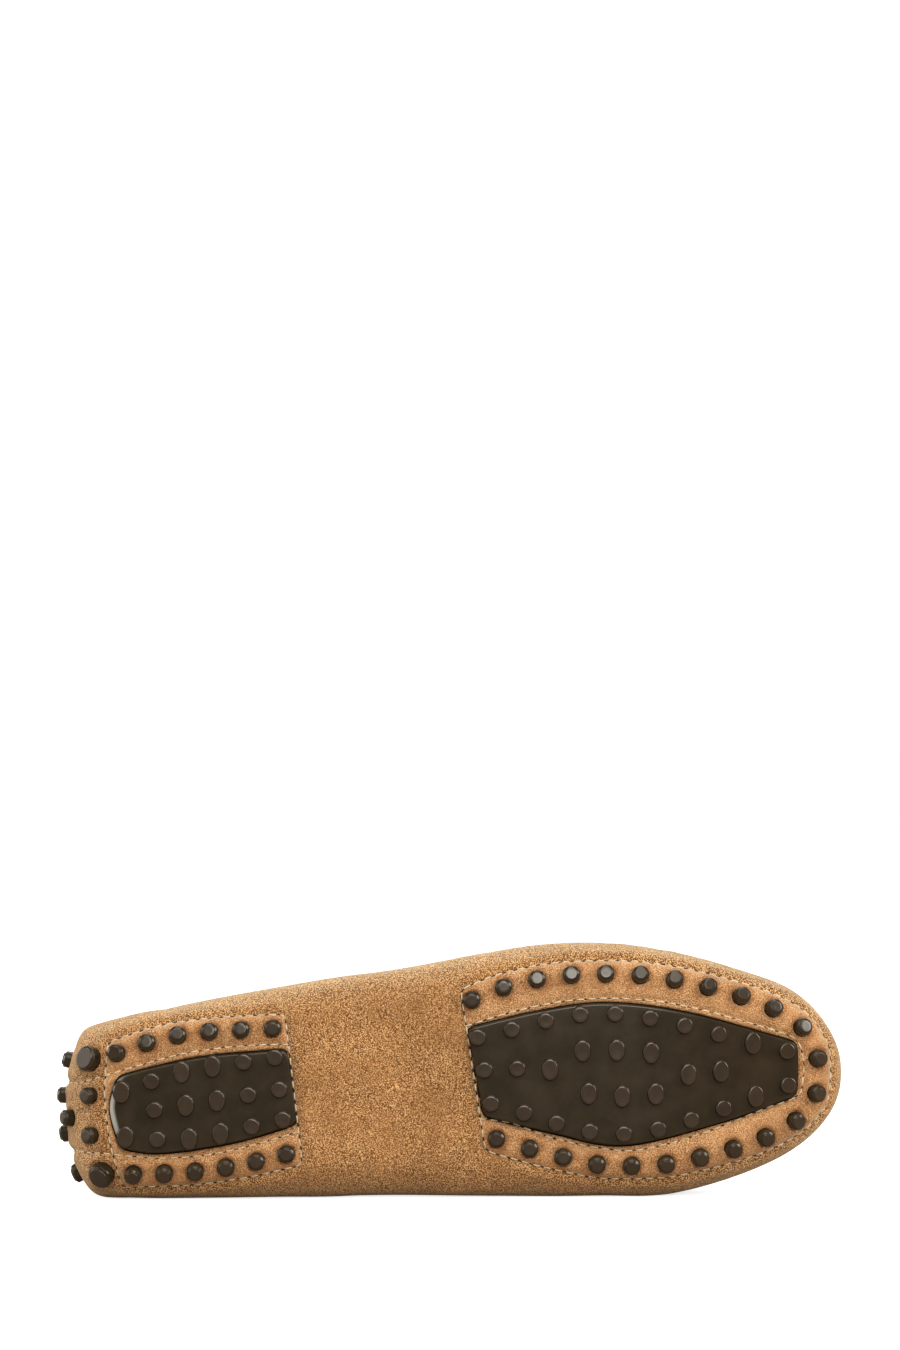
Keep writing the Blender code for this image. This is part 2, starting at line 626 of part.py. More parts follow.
def tie_and_tassels(parts, cutters):
    """A knot on the apron with two cords, and a tassel at the end of each, hanging as the shoe lies."""
    x, y = KNOT_CENTRE
    ray = ray_through(x, y)
    share = np.linspace(0, 1, 200)
    spots = np.array([wall_point(ray, t) for t in share])
    height = float(np.interp(-abs(y - ray.origin[1]), -np.abs(spots[:, 1] - ray.origin[1]), spots[:, 2]))
    knot = Vector((x, y, height + GAP + APRON_THICKNESS + KNOT_RADIUS))
    bm = bmesh.new()
    bmesh.ops.create_icosphere(bm, subdivisions=2, radius=KNOT_RADIUS)
    bmesh.ops.translate(bm, verts=bm.verts, vec=knot)
    tie = make_object("tie", bm, parts)
    lean = math.radians(LEAN_DEG)
    cords, tassels = [], []
    for name, spread in (("tassel_front", CORD_SPREAD), ("tassel_rear", -CORD_SPREAD)):
        down = Vector((spread, math.cos(lean), math.sin(lean))).normalized()
        end = knot + down * (KNOT_RADIUS + CORD_LENGTH)
        cords.append(rod(name + "_cord", knot + down, end, CORD_RADIUS, cutters))
        tassels.append(tassel(name, end + down * GAP, down, parts, cutters))
    return [combine(tie, "UNION", *cords), *tassels]


def lay_down(shoe):
    """Lays the shoe on its inner side, on the floor and with the middle of its box over the origin."""
    over = Matrix.Rotation(-math.radians(90 + LEAN_DEG), 4, "X")
    turn = Matrix.Rotation(math.radians(INCLINE_DEG), 4, "Y") @ over
    corners = np.array([turn @ v.co for obj in shoe for v in obj.data.vertices])
    low, high = corners.min(axis=0), corners.max(axis=0)
    middle = (low + high) / 2
    frame = bpy.data.objects.new("lying_shoe", None)
    bpy.context.scene.collection.objects.link(frame)
    frame.matrix_world = Matrix.Translation((-middle[0], -middle[1], -low[2])) @ turn
    for obj in shoe:
        obj.parent = frame


def finish(material, *pieces):
    for piece in pieces:
        merge_flats(piece)
        piece.data.materials.clear()
        piece.data.materials.append(material)


def main():
    for obj in list(bpy.data.objects):
        bpy.data.objects.remove(obj)
    parts = bpy.data.collections.new("driving_loafer")
    cutters = bpy.data.collections.new("cutters")
    for collection in (parts, cutters):
        bpy.context.scene.collection.children.link(collection)

    def region(outline, inset):
        return prism("region", offset(outline, inset, closed=True), SOLE_LOW, SOLE_HIGH, cutters)

    side = forefoot_side()
    forefoot = closed_outline([side], PATCH_SOFTNESS)
    heel_curves = (HEEL_LATERAL, HEEL_MEDIAL, HEEL_REAR)
    heel = closed_outline([smooth_path(curve) for curve in heel_curves], PATCH_SOFTNESS)
    forefoot_pad = closed_outline([smooth_path(curve) for curve in FOREFOOT_PAD], PAD_SOFTNESS)
    heel_pad = closed_outline([smooth_path(curve) for curve in HEEL_PAD], PAD_SOFTNESS)
    forefoot_tall = edge_studs(side, FOREFOOT_STUDS, FOREFOOT_ENDS)
    heel_tall = edge_studs(smooth_path(HEEL_LATERAL), HEEL_STUDS, HEEL_LATERAL_ENDS)
    heel_tall += edge_studs(smooth_path(HEEL_MEDIAL), HEEL_STUDS, HEEL_MEDIAL_ENDS)
    back_tall = tab_studs()

    # Suede: the upper, with windows under the ball and under and behind the heel, and the pieces that fill them
    upper = skin("upper", 0.0, WALL, parts)
    heel_window = combine(region(heel, -GAP / 2), "UNION", tab_region("tab_window", GAP / 2, cutters))
    combine(upper, "DIFFERENCE", region(forefoot, -GAP / 2), heel_window)
    suede = [upper]
    heel_form = combine(region(heel, GAP / 2), "DIFFERENCE", tab_region("tab_beside", GAP / 2, cutters))
    for name, form, pad, studs in (
        ("forefoot_patch", region(forefoot, GAP / 2), forefoot_pad, forefoot_tall),
        ("heel_patch", heel_form, heel_pad, heel_tall),
    ):
        patch = combine(skin(name, 0.0, WALL, parts), "INTERSECT", form)
        holes = stud_solids(name + "_holes", studs, GAP, 0.0, cutters)
        suede.append(combine(patch, "DIFFERENCE", region(pad, -GAP), holes))
    tab_form = tab_region("tab_form", -GAP / 2, cutters)
    tab = combine(skin("heel_tab", 0.0, WALL, parts), "INTERSECT", tab_form)
    suede.append(combine(tab, "DIFFERENCE", stud_solids("tab_holes", back_tall, GAP, 0.0, cutters)))
    apron_side = smooth_path((*APRON_SIDE, *((x, -y) for x, y in reversed(APRON_SIDE))))
    apron_outline = closed_outline([apron_side], PATCH_SOFTNESS)
    apron = skin("apron", -GAP - APRON_THICKNESS, APRON_THICKNESS, parts)
    apron_form = prism("apron_form", apron_outline, APRON_LOW, 2 * APRON_LOW + TOE_SPRING, cutters)
    suede.append(combine(apron, "INTERSECT", apron_form))

    # Rubber
    forefoot_base = region(forefoot, -BASE_MARGIN)
    heel_base = combine(region(heel, -BASE_MARGIN), "UNION", tab_region("tab_base", BASE_MARGIN, cutters))
    forefoot_low, heel_low = pad_studs(FOREFOOT_ROWS), pad_studs(HEEL_ROWS)
    rubber = [
        tread("forefoot_tread", forefoot_base, forefoot_pad, forefoot_low, forefoot_tall, parts, cutters),
        tread("heel_tread", heel_base, heel_pad, heel_low, heel_tall + back_tall, parts, cutters),
    ]

    # Leather
    insole_depth = WALL + GAP + BASE_THICKNESS + GAP
    insole_outline = closed_outline([shoe_outline()], PATCH_SOFTNESS)
    insole = skin("insole", insole_depth, INSOLE_THICKNESS, parts)
    combine(insole, "INTERSECT", region(insole_outline, INSOLE_INSET))
    leather = [insole, *tie_and_tassels(parts, cutters)]

    finish(make_material(*SUEDE), *suede)
    finish(make_material(*RUBBER), *rubber)
    finish(make_material(*LEATHER), *leather)
    lay_down(suede + rubber + leather)
    bpy.data.collections.remove(cutters)


if __name__ == "__main__":
    main()
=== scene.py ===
"""Looks of a suede driving loafer for the right foot, lying on its inner side with its studded sole in view.

Sizes are in millimetres in the shoe's own frame, as in the part's source: x runs from the back of the heel
to the toe, y to the inner (medial) side and z up from the ground that the studs stand on.
"""

import json
import math
from collections import namedtuple

import bmesh
import bpy
import numpy as np
from mathutils import Matrix, Vector
from mathutils.bvhtree import BVHTree
from mathutils.geometry import delaunay_2d_cdt
from mathutils.kdtree import KDTree


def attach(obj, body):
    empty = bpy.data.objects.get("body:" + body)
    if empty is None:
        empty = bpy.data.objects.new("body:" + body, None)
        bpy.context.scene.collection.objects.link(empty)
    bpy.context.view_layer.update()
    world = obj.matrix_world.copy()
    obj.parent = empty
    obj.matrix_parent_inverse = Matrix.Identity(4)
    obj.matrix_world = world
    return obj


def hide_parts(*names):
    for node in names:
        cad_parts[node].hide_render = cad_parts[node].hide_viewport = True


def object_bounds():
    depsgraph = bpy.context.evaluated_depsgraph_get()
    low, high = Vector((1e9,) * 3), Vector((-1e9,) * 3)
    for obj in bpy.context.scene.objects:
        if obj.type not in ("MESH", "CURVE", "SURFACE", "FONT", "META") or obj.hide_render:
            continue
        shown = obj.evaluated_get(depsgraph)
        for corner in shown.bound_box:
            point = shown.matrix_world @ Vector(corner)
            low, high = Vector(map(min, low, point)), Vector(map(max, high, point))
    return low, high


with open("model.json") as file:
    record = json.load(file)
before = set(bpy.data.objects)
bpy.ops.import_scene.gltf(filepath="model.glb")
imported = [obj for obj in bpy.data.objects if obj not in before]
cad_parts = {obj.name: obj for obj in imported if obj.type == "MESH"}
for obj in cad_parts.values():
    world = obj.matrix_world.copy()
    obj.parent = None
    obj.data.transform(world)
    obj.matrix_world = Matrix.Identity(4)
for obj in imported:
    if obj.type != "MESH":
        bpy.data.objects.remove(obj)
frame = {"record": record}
CAD_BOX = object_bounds()

MM = 0.001
WELD_DISTANCE = 0.002
TINY = 1e-9

# Sizes of the shoe, as in the part's source
LENGTH = 256.0
GAP = 0.35
STUD_REACH = 3.4
PAD_REACH = 1.8
APRON_THICKNESS = 1.1
TOE_SPRING = 10.0
SPRING_START = 185.0
ARCH = 2.5
ARCH_START, ARCH_END = 78.0, 134.0
LEAN_DEG = 3.7
INCLINE_DEG = 0.63

Section = namedtuple("Section", "x lateral medial top opening closing")
SECTIONS = (
    Section(32, -20.2, 42.7, 52.0, 25.0, 0.0),
    Section(58, -25.4, 42.3, 46.5, 26.5, 0.0),
    Section(85, -30.0, 41.7, 45.0, 28.5, 0.0),
    Section(111, -34.0, 41.3, 48.0, 29.5, 0.1),
    Section(137, -38.9, 41.3, 54.5, 27.5, 0.45),
    Section(152, -41.5, 41.3, 59.5, 23.0, 0.8),
    Section(156, -42.0, 41.3, 60.6, 15.0, 0.9),
    Section(158, -42.2, 41.3, 61.0, 0.0, 1.0),
    Section(177, -42.7, 41.0, 54.5, 0.0, 1.0),
    Section(197, -40.3, 40.6, 47.5, 0.0, 1.0),
    Section(215, -36.4, 36.6, 42.5, 0.0, 1.0),
)
HEEL_CENTRE, TOE_CENTRE = SECTIONS[0].x, SECTIONS[-1].x
HEEL_SQUARENESS = 3.0
HEEL_BACK_TOP = 58.0
HEEL_BACK_INSET = 4.0
NOSE_START = 197.0
NOSE_TAPER = 1.3
NOSE_BLUNTNESS = 0.42
SIDE_CORNER, HEEL_CORNER, TOE_CORNER = 13.0, 20.0, 9.5
LATERAL_BULGE, MEDIAL_BULGE = 1.6, 1.0
VAMP_FULLNESS = 0.8
TOE_SLOPE = 0.5

STUD_RADIUS = 2.8
OVAL_RADIUS = 3.7
LARGE_RADIUS = 4.2
STUD_INSET = 4.7

FOREFOOT_LATERAL = ((130, -27), (142, -32), (160, -36), (178, -37))
FOREFOOT_MEDIAL = ((178, 35.2), (168, 33.6), (155, 30.7), (138.5, 26))
FOREFOOT_NOSE = (190, 252.8, -36.6, 35.6)
FOREFOOT_BLUNTNESS = 0.36
FOREFOOT_STUDS = 23
FOREFOOT_ENDS = (2.0, 2.4)
FOREFOOT_PAD = (
    ((132.4, -14.0), (157, -19.9), (179, -22.5), (206, -19.2), (241, -9.5)),
    ((241.0, 7.2), (218, 15.5), (184.5, 23.7), (160, 19.7), (138.0, 14.6)),
)
HEEL_LATERAL = ((13.5, -9.2), (30, -14.6), (47, -17.2), (72, -18.7))
HEEL_MEDIAL = ((78.3, 31), (62, 35), (43, 38.0), (18.6, 39.2))
HEEL_SEAM = ((18.6, 39.2), (14.3, 22), (12.7, 8), (13.5, -9.2))
HEEL_STUDS = 6
HEEL_LATERAL_ENDS = (1.8, 4.2)
HEEL_MEDIAL_ENDS = (4.4, 4.2)
HEEL_PAD = (
    ((17.5, 2.5), (32, -1.3), (48, -4.4), (73.0, -6.6)),
    ((76.3, 17.4), (56, 23.5), (32, 27.2), (19.0, 26)),
    ((16.2, 20.0), (14.6, 12.5), (16.0, 6.0)),
)
TAB_TOP = 38.0
TAB_SHOULDER = 27.0
PATCH_SOFTNESS, PAD_SOFTNESS = 2, 2

StudRow = namedtuple("StudRow", "curve count ovals")
FOREFOOT_ROWS = (
    StudRow(((135.7, -11.2), (180, -19.3), (237.4, -7.1)), 10, {8}),
    StudRow(((140.2, 10.5), (185.2, 20.2), (237.8, 4.0)), 10, {8}),
    StudRow(((138, -0.5), (148.8, -1.0), (159.6, -0.8)), 3, {2}),
    StudRow(((170.3, -7.0), (181.5, -7.3), (192.8, -6.5)), 3, {0, 1, 2}),
    StudRow(((172.4, 7.0), (183.6, 7.9), (194.4, 7.0)), 3, {0, 1, 2}),
    StudRow(((205, 0.6), (210.3, 0.1), (215.7, -0.5)), 2, {0, 1}),
)
HEEL_ROWS = (
    StudRow(((18.7, 7.4), (38.9, 0.6), (68.9, -4.2)), 6, {0, 2, 3}),
    StudRow(((29.5, 13.2), (50, 10.0), (70.5, 6.3)), 5, {1, 2}),
    StudRow(((20.1, 22.1), (40.9, 22.6), (71.7, 16.1)), 6, {0, 2, 3}),
)
TAB_EDGE_STUDS = ((7.9, -3.3), (8.2, 8.7), (8.7, 21.8), (12.4, 34.2))
TAB_LARGE_STUDS = {0, 3}
TAB_BACK_STUDS = ((16.6, 15.5), (-2.6, 24.5), (8.9, 24.5), (21.6, 24.5), (33.0, 24.5))

APRON_SIDE = ((160.5, -25), (178, -25.5), (200, -23.5), (220, -18), (232, -8))
KNOT_CENTRE = (170.0, 3.0)
KNOT_RADIUS = 3.2
CORD_RADIUS = 1.2
CORD_LENGTH = 6.0
CORD_SPREAD = 0.32

# The part's heel mount, in the shoe's own frame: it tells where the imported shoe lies
HEEL_MOUNT = (50.0, 10.0, 0.0)

# Layers of the wall, by depth from the suede's outer face
SUEDE_THICKNESS = 0.9
WINDOW_DEPTH = 0.9
PATCH_THICKNESS = 0.8
LINING_DEPTH = 1.85
LINING_THICKNESS = 0.5
INSOLE_DEPTH = 3.5
INSOLE_THICKNESS = 1.5
INSOLE_INSET = 11.0

# Sewing: a stitch every pitch, thread for part of it and a needle slot between, drawn as a dark disc of
# painted shade, in a groove of the suede that puffs up on both sides
STITCH_PITCH = 3.8
THREAD_SHARE = 0.66
THREAD_RADIUS = 0.21
SLOT_SIZE = (0.7, 0.33)
GROOVE_DEPTH = 0.55
GROOVE_WIDTH = 1.0
PUFF_HEIGHT = 0.4
PUFF_AWAY, PUFF_WIDTH = 3.0, 2.1


# Shape of the last

def bell(distance, width):
    return np.exp(-((distance / width) ** 2))


def unit(vectors):
    """Vectors scaled to length 1. Those without length stay so."""
    return vectors / np.maximum(np.linalg.norm(vectors, axis=-1, keepdims=True), TINY)


def smooth_at(xs, values, x):
    """Cubic interpolation through a table's column."""
    slopes = np.gradient(values, xs)
    i = np.clip(np.searchsorted(xs, x) - 1, 0, len(xs) - 2)
    span = xs[i + 1] - xs[i]
    t = (x - xs[i]) / span
    rise = values[i + 1] - values[i]
    start, end = slopes[i] * span, slopes[i + 1] * span
    return values[i] + t * start + t * t * (3 * rise - 2 * start - end) + t**3 * (start + end - 2 * rise)


STATIONS = np.array([s.x for s in SECTIONS], float)
COLUMNS = {name: np.array([getattr(s, name) for s in SECTIONS], float) for name in Section._fields}


def nose(x, start, tip, bluntness):
    """Share of the full width that is left at x, between where the nose starts and its tip."""
    t = np.clip((x - start) / (tip - start), 0.0, 1.0)
    return (1.0 - t**NOSE_TAPER) ** bluntness


def edge(x, side):
    """The y of the outline at x, on the side named lateral or medial."""
    full = smooth_at(STATIONS, COLUMNS[side], np.minimum(x, NOSE_START))
    return full * nose(x, NOSE_START, LENGTH, NOSE_BLUNTNESS)


def spine(x):
    return (edge(x, "lateral") + edge(x, "medial")) / 2


def base_height(x):
    """Height of the suede under the middle of the foot, with the toe's spring and the waist's arch."""
    spring = TOE_SPRING * (np.maximum(x - SPRING_START, 0.0) / (LENGTH - SPRING_START)) ** 2
    waist = np.clip((x - ARCH_START) / (ARCH_END - ARCH_START), 0.0, 1.0)
    return STUD_REACH + spring + ARCH * np.sin(math.pi * waist) ** 2


# A ray is one half section: it starts under the foot at origin, reaches the outline at width along direction,
# turns up there round an edge of radius corner and ends at height top, opening away from origin. Closing and
# dome say how far its wall has the form of the closed vamp, and slope how straight that form rises.
Ray = namedtuple("Ray", "origin direction width corner top opening closing slope dome")

# Between these stations the open sections grow into the form of the closed vamp, cut off at the collar
DOME_START, DOME_END = 116.0, 150.0


def body_ray(x, side):
    middle = spine(x)
    width = abs(edge(x, side) - middle)
    opening = np.interp(x, STATIONS, COLUMNS["opening"])
    closing = np.interp(x, STATIONS, COLUMNS["closing"])
    top = smooth_at(STATIONS, COLUMNS["top"], x)
    direction = np.array((0.0, 1.0 if side == "medial" else -1.0))
    share = min(max((x - DOME_START) / (DOME_END - DOME_START), 0.0), 1.0)
    dome = share * share * (3 - 2 * share)
    return Ray(np.array((x, middle)), direction, width, SIDE_CORNER, top, opening, closing, 0.0, dome)


HEEL_HALF = (SECTIONS[0].medial - SECTIONS[0].lateral) / 2
HEEL_ORIGIN = np.array((HEEL_CENTRE, spine(HEEL_CENTRE)))
TOE_ORIGIN = np.array((TOE_CENTRE, spine(TOE_CENTRE)))


def heel_reach(direction):
    """Distance to the outline from the heel's centre, and the radius of the rounded edge there."""
    along_x = np.abs(direction[..., 0] / HEEL_CENTRE) ** HEEL_SQUARENESS
    across = np.abs(direction[..., 1] / HEEL_HALF) ** HEEL_SQUARENESS
    corner = SIDE_CORNER + (HEEL_CORNER - SIDE_CORNER) * direction[..., 0] ** 2
    return (along_x + across) ** (-1 / HEEL_SQUARENESS), corner


def heel_ray(direction):
    heel = SECTIONS[0]
    width, corner = heel_reach(direction)
    back = direction[0] ** 2
    top = heel.top + (HEEL_BACK_TOP - heel.top) * math.acos(min(abs(direction[1]), 1.0)) / (math.pi / 2)
    inset = (HEEL_HALF - heel.opening) * (1 - back) + HEEL_BACK_INSET * back
    return Ray(HEEL_ORIGIN, direction, width, corner, top, width - inset, 0.0, 0.0, 0.0)


def toe_outline():
    """Angle and distance of the toe's outline, seen from the toe's centre."""
    xs = TOE_CENTRE + (LENGTH - TOE_CENTRE) * np.sin(np.linspace(0, math.pi / 2, 160))
    lateral = np.column_stack((xs, edge(xs, "lateral"))) - TOE_ORIGIN
    medial = np.column_stack((xs, edge(xs, "medial")))[::-1] - TOE_ORIGIN
    points = np.vstack((lateral, medial[1:]))
    return np.arctan2(points[:, 1], points[:, 0]), np.hypot(points[:, 0], points[:, 1])


TOE_ANGLES, TOE_REACH = toe_outline()


def toe_reach(direction):
    """Distance to the outline from the toe's centre, and the radius of the rounded edge there."""
    reach = np.interp(np.arctan2(direction[..., 1], direction[..., 0]), TOE_ANGLES, TOE_REACH)
    return reach, SIDE_CORNER + (TOE_CORNER - SIDE_CORNER) * direction[..., 0] ** 2


def toe_ray(direction):
    width, corner = toe_reach(direction)
    slope = TOE_SLOPE * direction[0] ** 2
    return Ray(TOE_ORIGIN, direction, width, corner, SECTIONS[-1].top, 0.0, 1.0, slope, 0.0)


def corner_rise(width, corner, r):
    """How far the rounded edge of the sole has risen at r from the middle."""
    past = np.clip(r - (width - corner), 0.0, corner)
    return corner - np.sqrt(corner**2 - past**2)


def sole_points(plan):
    """The points of the suede under the foot at places in plan."""
    x, y = plan[:, 0], plan[:, 1]
    centre = np.clip(x, HEEL_CENTRE, TOE_CENTRE)
    across = np.column_stack((x - centre, y - spine(centre)))
    r = np.hypot(across[:, 0], across[:, 1])
    direction = across / np.maximum(r, TINY)[:, None]
    side = np.where(across[:, 1] > 0, edge(centre, "medial"), edge(centre, "lateral"))
    width, corner = np.abs(side - spine(centre)), np.full(len(plan), SIDE_CORNER)
    for chosen, reach in ((x < HEEL_CENTRE, heel_reach), (x > TOE_CENTRE, toe_reach)):
        found_width, found_corner = reach(direction)
        width, corner = np.where(chosen, found_width, width), np.where(chosen, found_corner, corner)
    return np.column_stack((x, y, base_height(x) + corner_rise(width, corner, r)))


def vamp(t, slope):
    """Shares of the way in and up at t over a closed section."""
    turn = t * math.pi / 2
    fullness = VAMP_FULLNESS + (1 - VAMP_FULLNESS) * slope
    inward = 1 - np.maximum(np.cos(turn), 0.0) ** fullness
    return inward, (1 - slope) * np.sin(turn) ** fullness + slope * inward


def wall_points(ray, t):
    """Points at t from the rounded edge, 0, to the collar or the top of the vamp, 1."""
    bulge = LATERAL_BULGE + (MEDIAL_BULGE - LATERAL_BULGE) * (1 + ray.direction[1]) / 2
    vamp_in, vamp_up = vamp(t, ray.slope)
    inward = ray.closing * vamp_in + (1 - ray.closing) * t**bulge
    upward = ray.closing * vamp_up + (1 - ray.closing) * t
    if ray.dome:
        cut = math.acos((ray.opening / ray.width) ** (1 / VAMP_FULLNESS)) / (math.pi / 2)
        dome_in, dome_up = vamp(t * cut, 0.0)
        cut_in, cut_up = vamp(cut, 0.0)
        inward = inward + ray.dome * (dome_in / cut_in - inward)
        upward = upward + ray.dome * (dome_up / cut_up - upward)
    r = ray.width - (ray.width - ray.opening) * inward
    plan = ray.origin + r[:, None] * ray.direction
    foot = base_height((ray.origin + ray.width * ray.direction)[0]) + ray.corner
    return np.column_stack((plan, foot + (ray.top - foot) * upward))


def profile(ray, flat_steps, corner_steps, wall_steps):
    """Points of a half section, from under the foot to the collar or the top of the vamp."""
    flat = np.linspace(0, ray.width - ray.corner, flat_steps + 1)[:-1]
    turns = np.linspace(0, math.pi / 2, corner_steps + 1)[:-1]
    r = np.concatenate((flat, ray.width - ray.corner + ray.corner * np.sin(turns)))
    plan = ray.origin + r[:, None] * ray.direction
    height = base_height(plan[:, 0]) + corner_rise(ray.width, ray.corner, r)
    return np.vstack((np.column_stack((plan, height)), wall_points(ray, np.linspace(0, 1, wall_steps + 1))))


THROAT_START, THROAT_END = 149.0, 159.0


def body_stations(step):
    """Stations along the shoe, closer together where the throat closes."""
    ends = (HEEL_CENTRE, THROAT_START, THROAT_END, TOE_CENTRE)
    spans = zip(ends, ends[1:], (step, step / 3, step))
    parts = [np.linspace(a, b, round((b - a) / s) + 1)[:-1] for a, b, s in spans]
    return np.concatenate((*parts, (TOE_CENTRE,)))


def all_rays(step, fan_steps):
    """Half sections in order round the shoe: inner side, toe, outer side, heel."""
    stations = body_stations(step)
    fan = np.linspace(math.pi / 2, -math.pi / 2, fan_steps + 1)[1:-1]
    medial = [body_ray(x, "medial") for x in stations]
    toe = [toe_ray(np.array((math.cos(a), math.sin(a)))) for a in fan]
    lateral = [body_ray(x, "lateral") for x in stations[::-1]]
    heel = [heel_ray(np.array((-math.cos(a), -math.sin(a)))) for a in fan]
    return medial + toe + lateral + heel


def back_points(y, z):
    """Points of the heel's back at side positions and heights."""
    across = (y - HEEL_ORIGIN[1]) / HEEL_HALF
    back = HEEL_CENTRE * (1 - np.abs(across) ** HEEL_SQUARENESS) ** (1 / HEEL_SQUARENESS)
    found = []
    for x_back, side, height in zip(back, y - HEEL_ORIGIN[1], z - STUD_REACH):
        ray = heel_ray(unit(np.array((-x_back, side))))
        if height < ray.corner:
            r = ray.width - ray.corner + math.sqrt(ray.corner**2 - (ray.corner - height) ** 2)
            found.append((*(ray.origin + r * ray.direction), height + STUD_REACH))
        else:
            t = (height - ray.corner) / (ray.top - STUD_REACH - ray.corner)
            found.append(wall_points(ray, np.array((t,)))[0])
    return np.array(found)


def surface_normals(points_at, u, v, outward, step=0.2):
    """Normals of a surface given by two coordinates, on the side that outward points to."""
    du = points_at(u + step, v) - points_at(u - step, v)
    dv = points_at(u, v + step) - points_at(u, v - step)
    normal = unit(np.cross(du, dv))
    return normal * np.sign(normal @ np.array(outward))[:, None]


def sole_normals(plan):
    def at(u, v):
        return sole_points(np.column_stack((u, v)))
    return surface_normals(at, plan[:, 0], plan[:, 1], (0, 0, -1))


def on_sole(plan, height):
    """Points at a height above the suede of the sole, outwards."""
    return sole_points(plan) + sole_normals(plan) * np.broadcast_to(height, len(plan))[:, None]


# Outlines in plan

def along(path):
    """Distance run at each point of a path."""
    return np.concatenate(([0], np.cumsum(np.linalg.norm(np.diff(path, axis=0), axis=1))))


def pick(path, distances):
    """Points of a path at distances run along it."""
    run = along(path)
    return np.column_stack([np.interp(distances, run, column) for column in path.T])


def resample(path, spacing):
    """Points of a path in even steps of about the spacing."""
    length = along(path)[-1]
    return pick(path, np.linspace(0, length, max(2, round(length / spacing)) + 1))


# Points of a curve from one given point to the next, before it is resampled
CURVE_STEPS = 24


def smooth_path(points, spacing=1.0):
    """Points about spacing apart on a curve through the given ones."""
    p = np.array(points, float)
    ends = np.vstack((2 * p[0] - p[1], p, 2 * p[-1] - p[-2]))
    found = []
    for a, b, c, d in zip(ends, ends[1:], ends[2:], ends[3:]):
        swing = 2 * a - 5 * b + 4 * c - d
        for t in np.linspace(0, 1, CURVE_STEPS, endpoint=False):
            found.append(b + 0.5 * t * (c - a + t * (swing + t * (3 * (b - c) + d - a))))
    return resample(np.array(found + [p[-1]]), spacing)


def headings(path, closed_path=False):
    """Directions of a path at its points."""
    if closed_path:
        return unit(np.roll(path, -1, axis=0) - np.roll(path, 1, axis=0))
    return unit(np.gradient(path, axis=0))


def offset(path, distance, closed_path=False):
    """A path in plan, moved to the left of its own direction."""
    ahead = headings(path, closed_path)
    return path + distance * np.column_stack((-ahead[:, 1], ahead[:, 0]))


def closed(outline):
    """An outline that ends where it starts."""
    return np.vstack((outline, outline[:1]))


def closed_outline(sides, corner, spacing=1.0):
    """Sides joined into one outline with softened corners. It runs so that its left is inside."""
    ring = resample(closed(np.vstack(sides)), 1.0)[:-1]
    ring = sum(np.roll(ring, k, axis=0) for k in range(-corner, corner + 1)) / (2 * corner + 1)
    ring = resample(closed(ring), spacing)[:-1]
    area = np.sum(ring[:, 0] * np.roll(ring[:, 1], -1) - np.roll(ring[:, 0], -1) * ring[:, 1])
    return ring if area > 0 else ring[::-1]


# Points along each side of the forefoot patch's nose, of which every third is on its curve
NOSE_POINTS, NOSE_STRIDE = 30, 3


def forefoot_side():
    """The forefoot patch's seam from the outer rear corner round the toe to the inner rear corner."""
    start, tip, lateral, medial = FOREFOOT_NOSE
    xs = start + (tip - start) * np.sin(np.linspace(0, math.pi / 2, NOSE_POINTS))
    width = nose(xs, start, tip, FOREFOOT_BLUNTNESS)
    outer = np.column_stack((xs, lateral * width))[::NOSE_STRIDE]
    inner = np.column_stack((xs, medial * width))[-1 - NOSE_STRIDE::-NOSE_STRIDE]
    return smooth_path((*FOREFOOT_LATERAL, *outer, *inner, *FOREFOOT_MEDIAL))


def inside(outline, plan):
    """Which places in plan lie within a closed outline."""
    x, y = plan[:, 0], plan[:, 1]
    found = np.zeros(len(plan), bool)
    for (ax, ay), (bx, by) in zip(outline, np.roll(outline, -1, axis=0)):
        if ay != by:
            crosses = (ay > y) != (by > y)
            found ^= crosses & (x < ax + (y - ay) * (bx - ax) / (by - ay))
    return found


def search(samples, points):
    """The nearest sample to each point: its number and its distance. Places are flat or in space."""
    tree = KDTree(len(samples))
    for k, spot in enumerate(samples):
        tree.insert((*spot, 0.0)[:3], k)
    tree.balance()
    found = [tree.find((*spot, 0.0)[:3]) for spot in points]
    return np.array([hit[1] for hit in found]), np.array([hit[2] for hit in found])


# Spacing of the points that stand for a line in a search
SEARCH_SPACING = 0.3


def nearest(lines, points):
    """Distance from each point to the closest of several lines."""
    return search(np.vstack([resample(line, SEARCH_SPACING) for line in lines]), points)[1]


FOREFOOT_SIDE = forefoot_side()
FOREFOOT = closed_outline([FOREFOOT_SIDE], PATCH_SOFTNESS)
HEEL = closed_outline([smooth_path(c) for c in (HEEL_LATERAL, HEEL_MEDIAL, HEEL_SEAM)], PATCH_SOFTNESS)
FOREFOOT_PAD_OUTLINE = closed_outline([smooth_path(c) for c in FOREFOOT_PAD], PAD_SOFTNESS)
HEEL_PAD_OUTLINE = closed_outline([smooth_path(c) for c in HEEL_PAD], PAD_SOFTNESS)

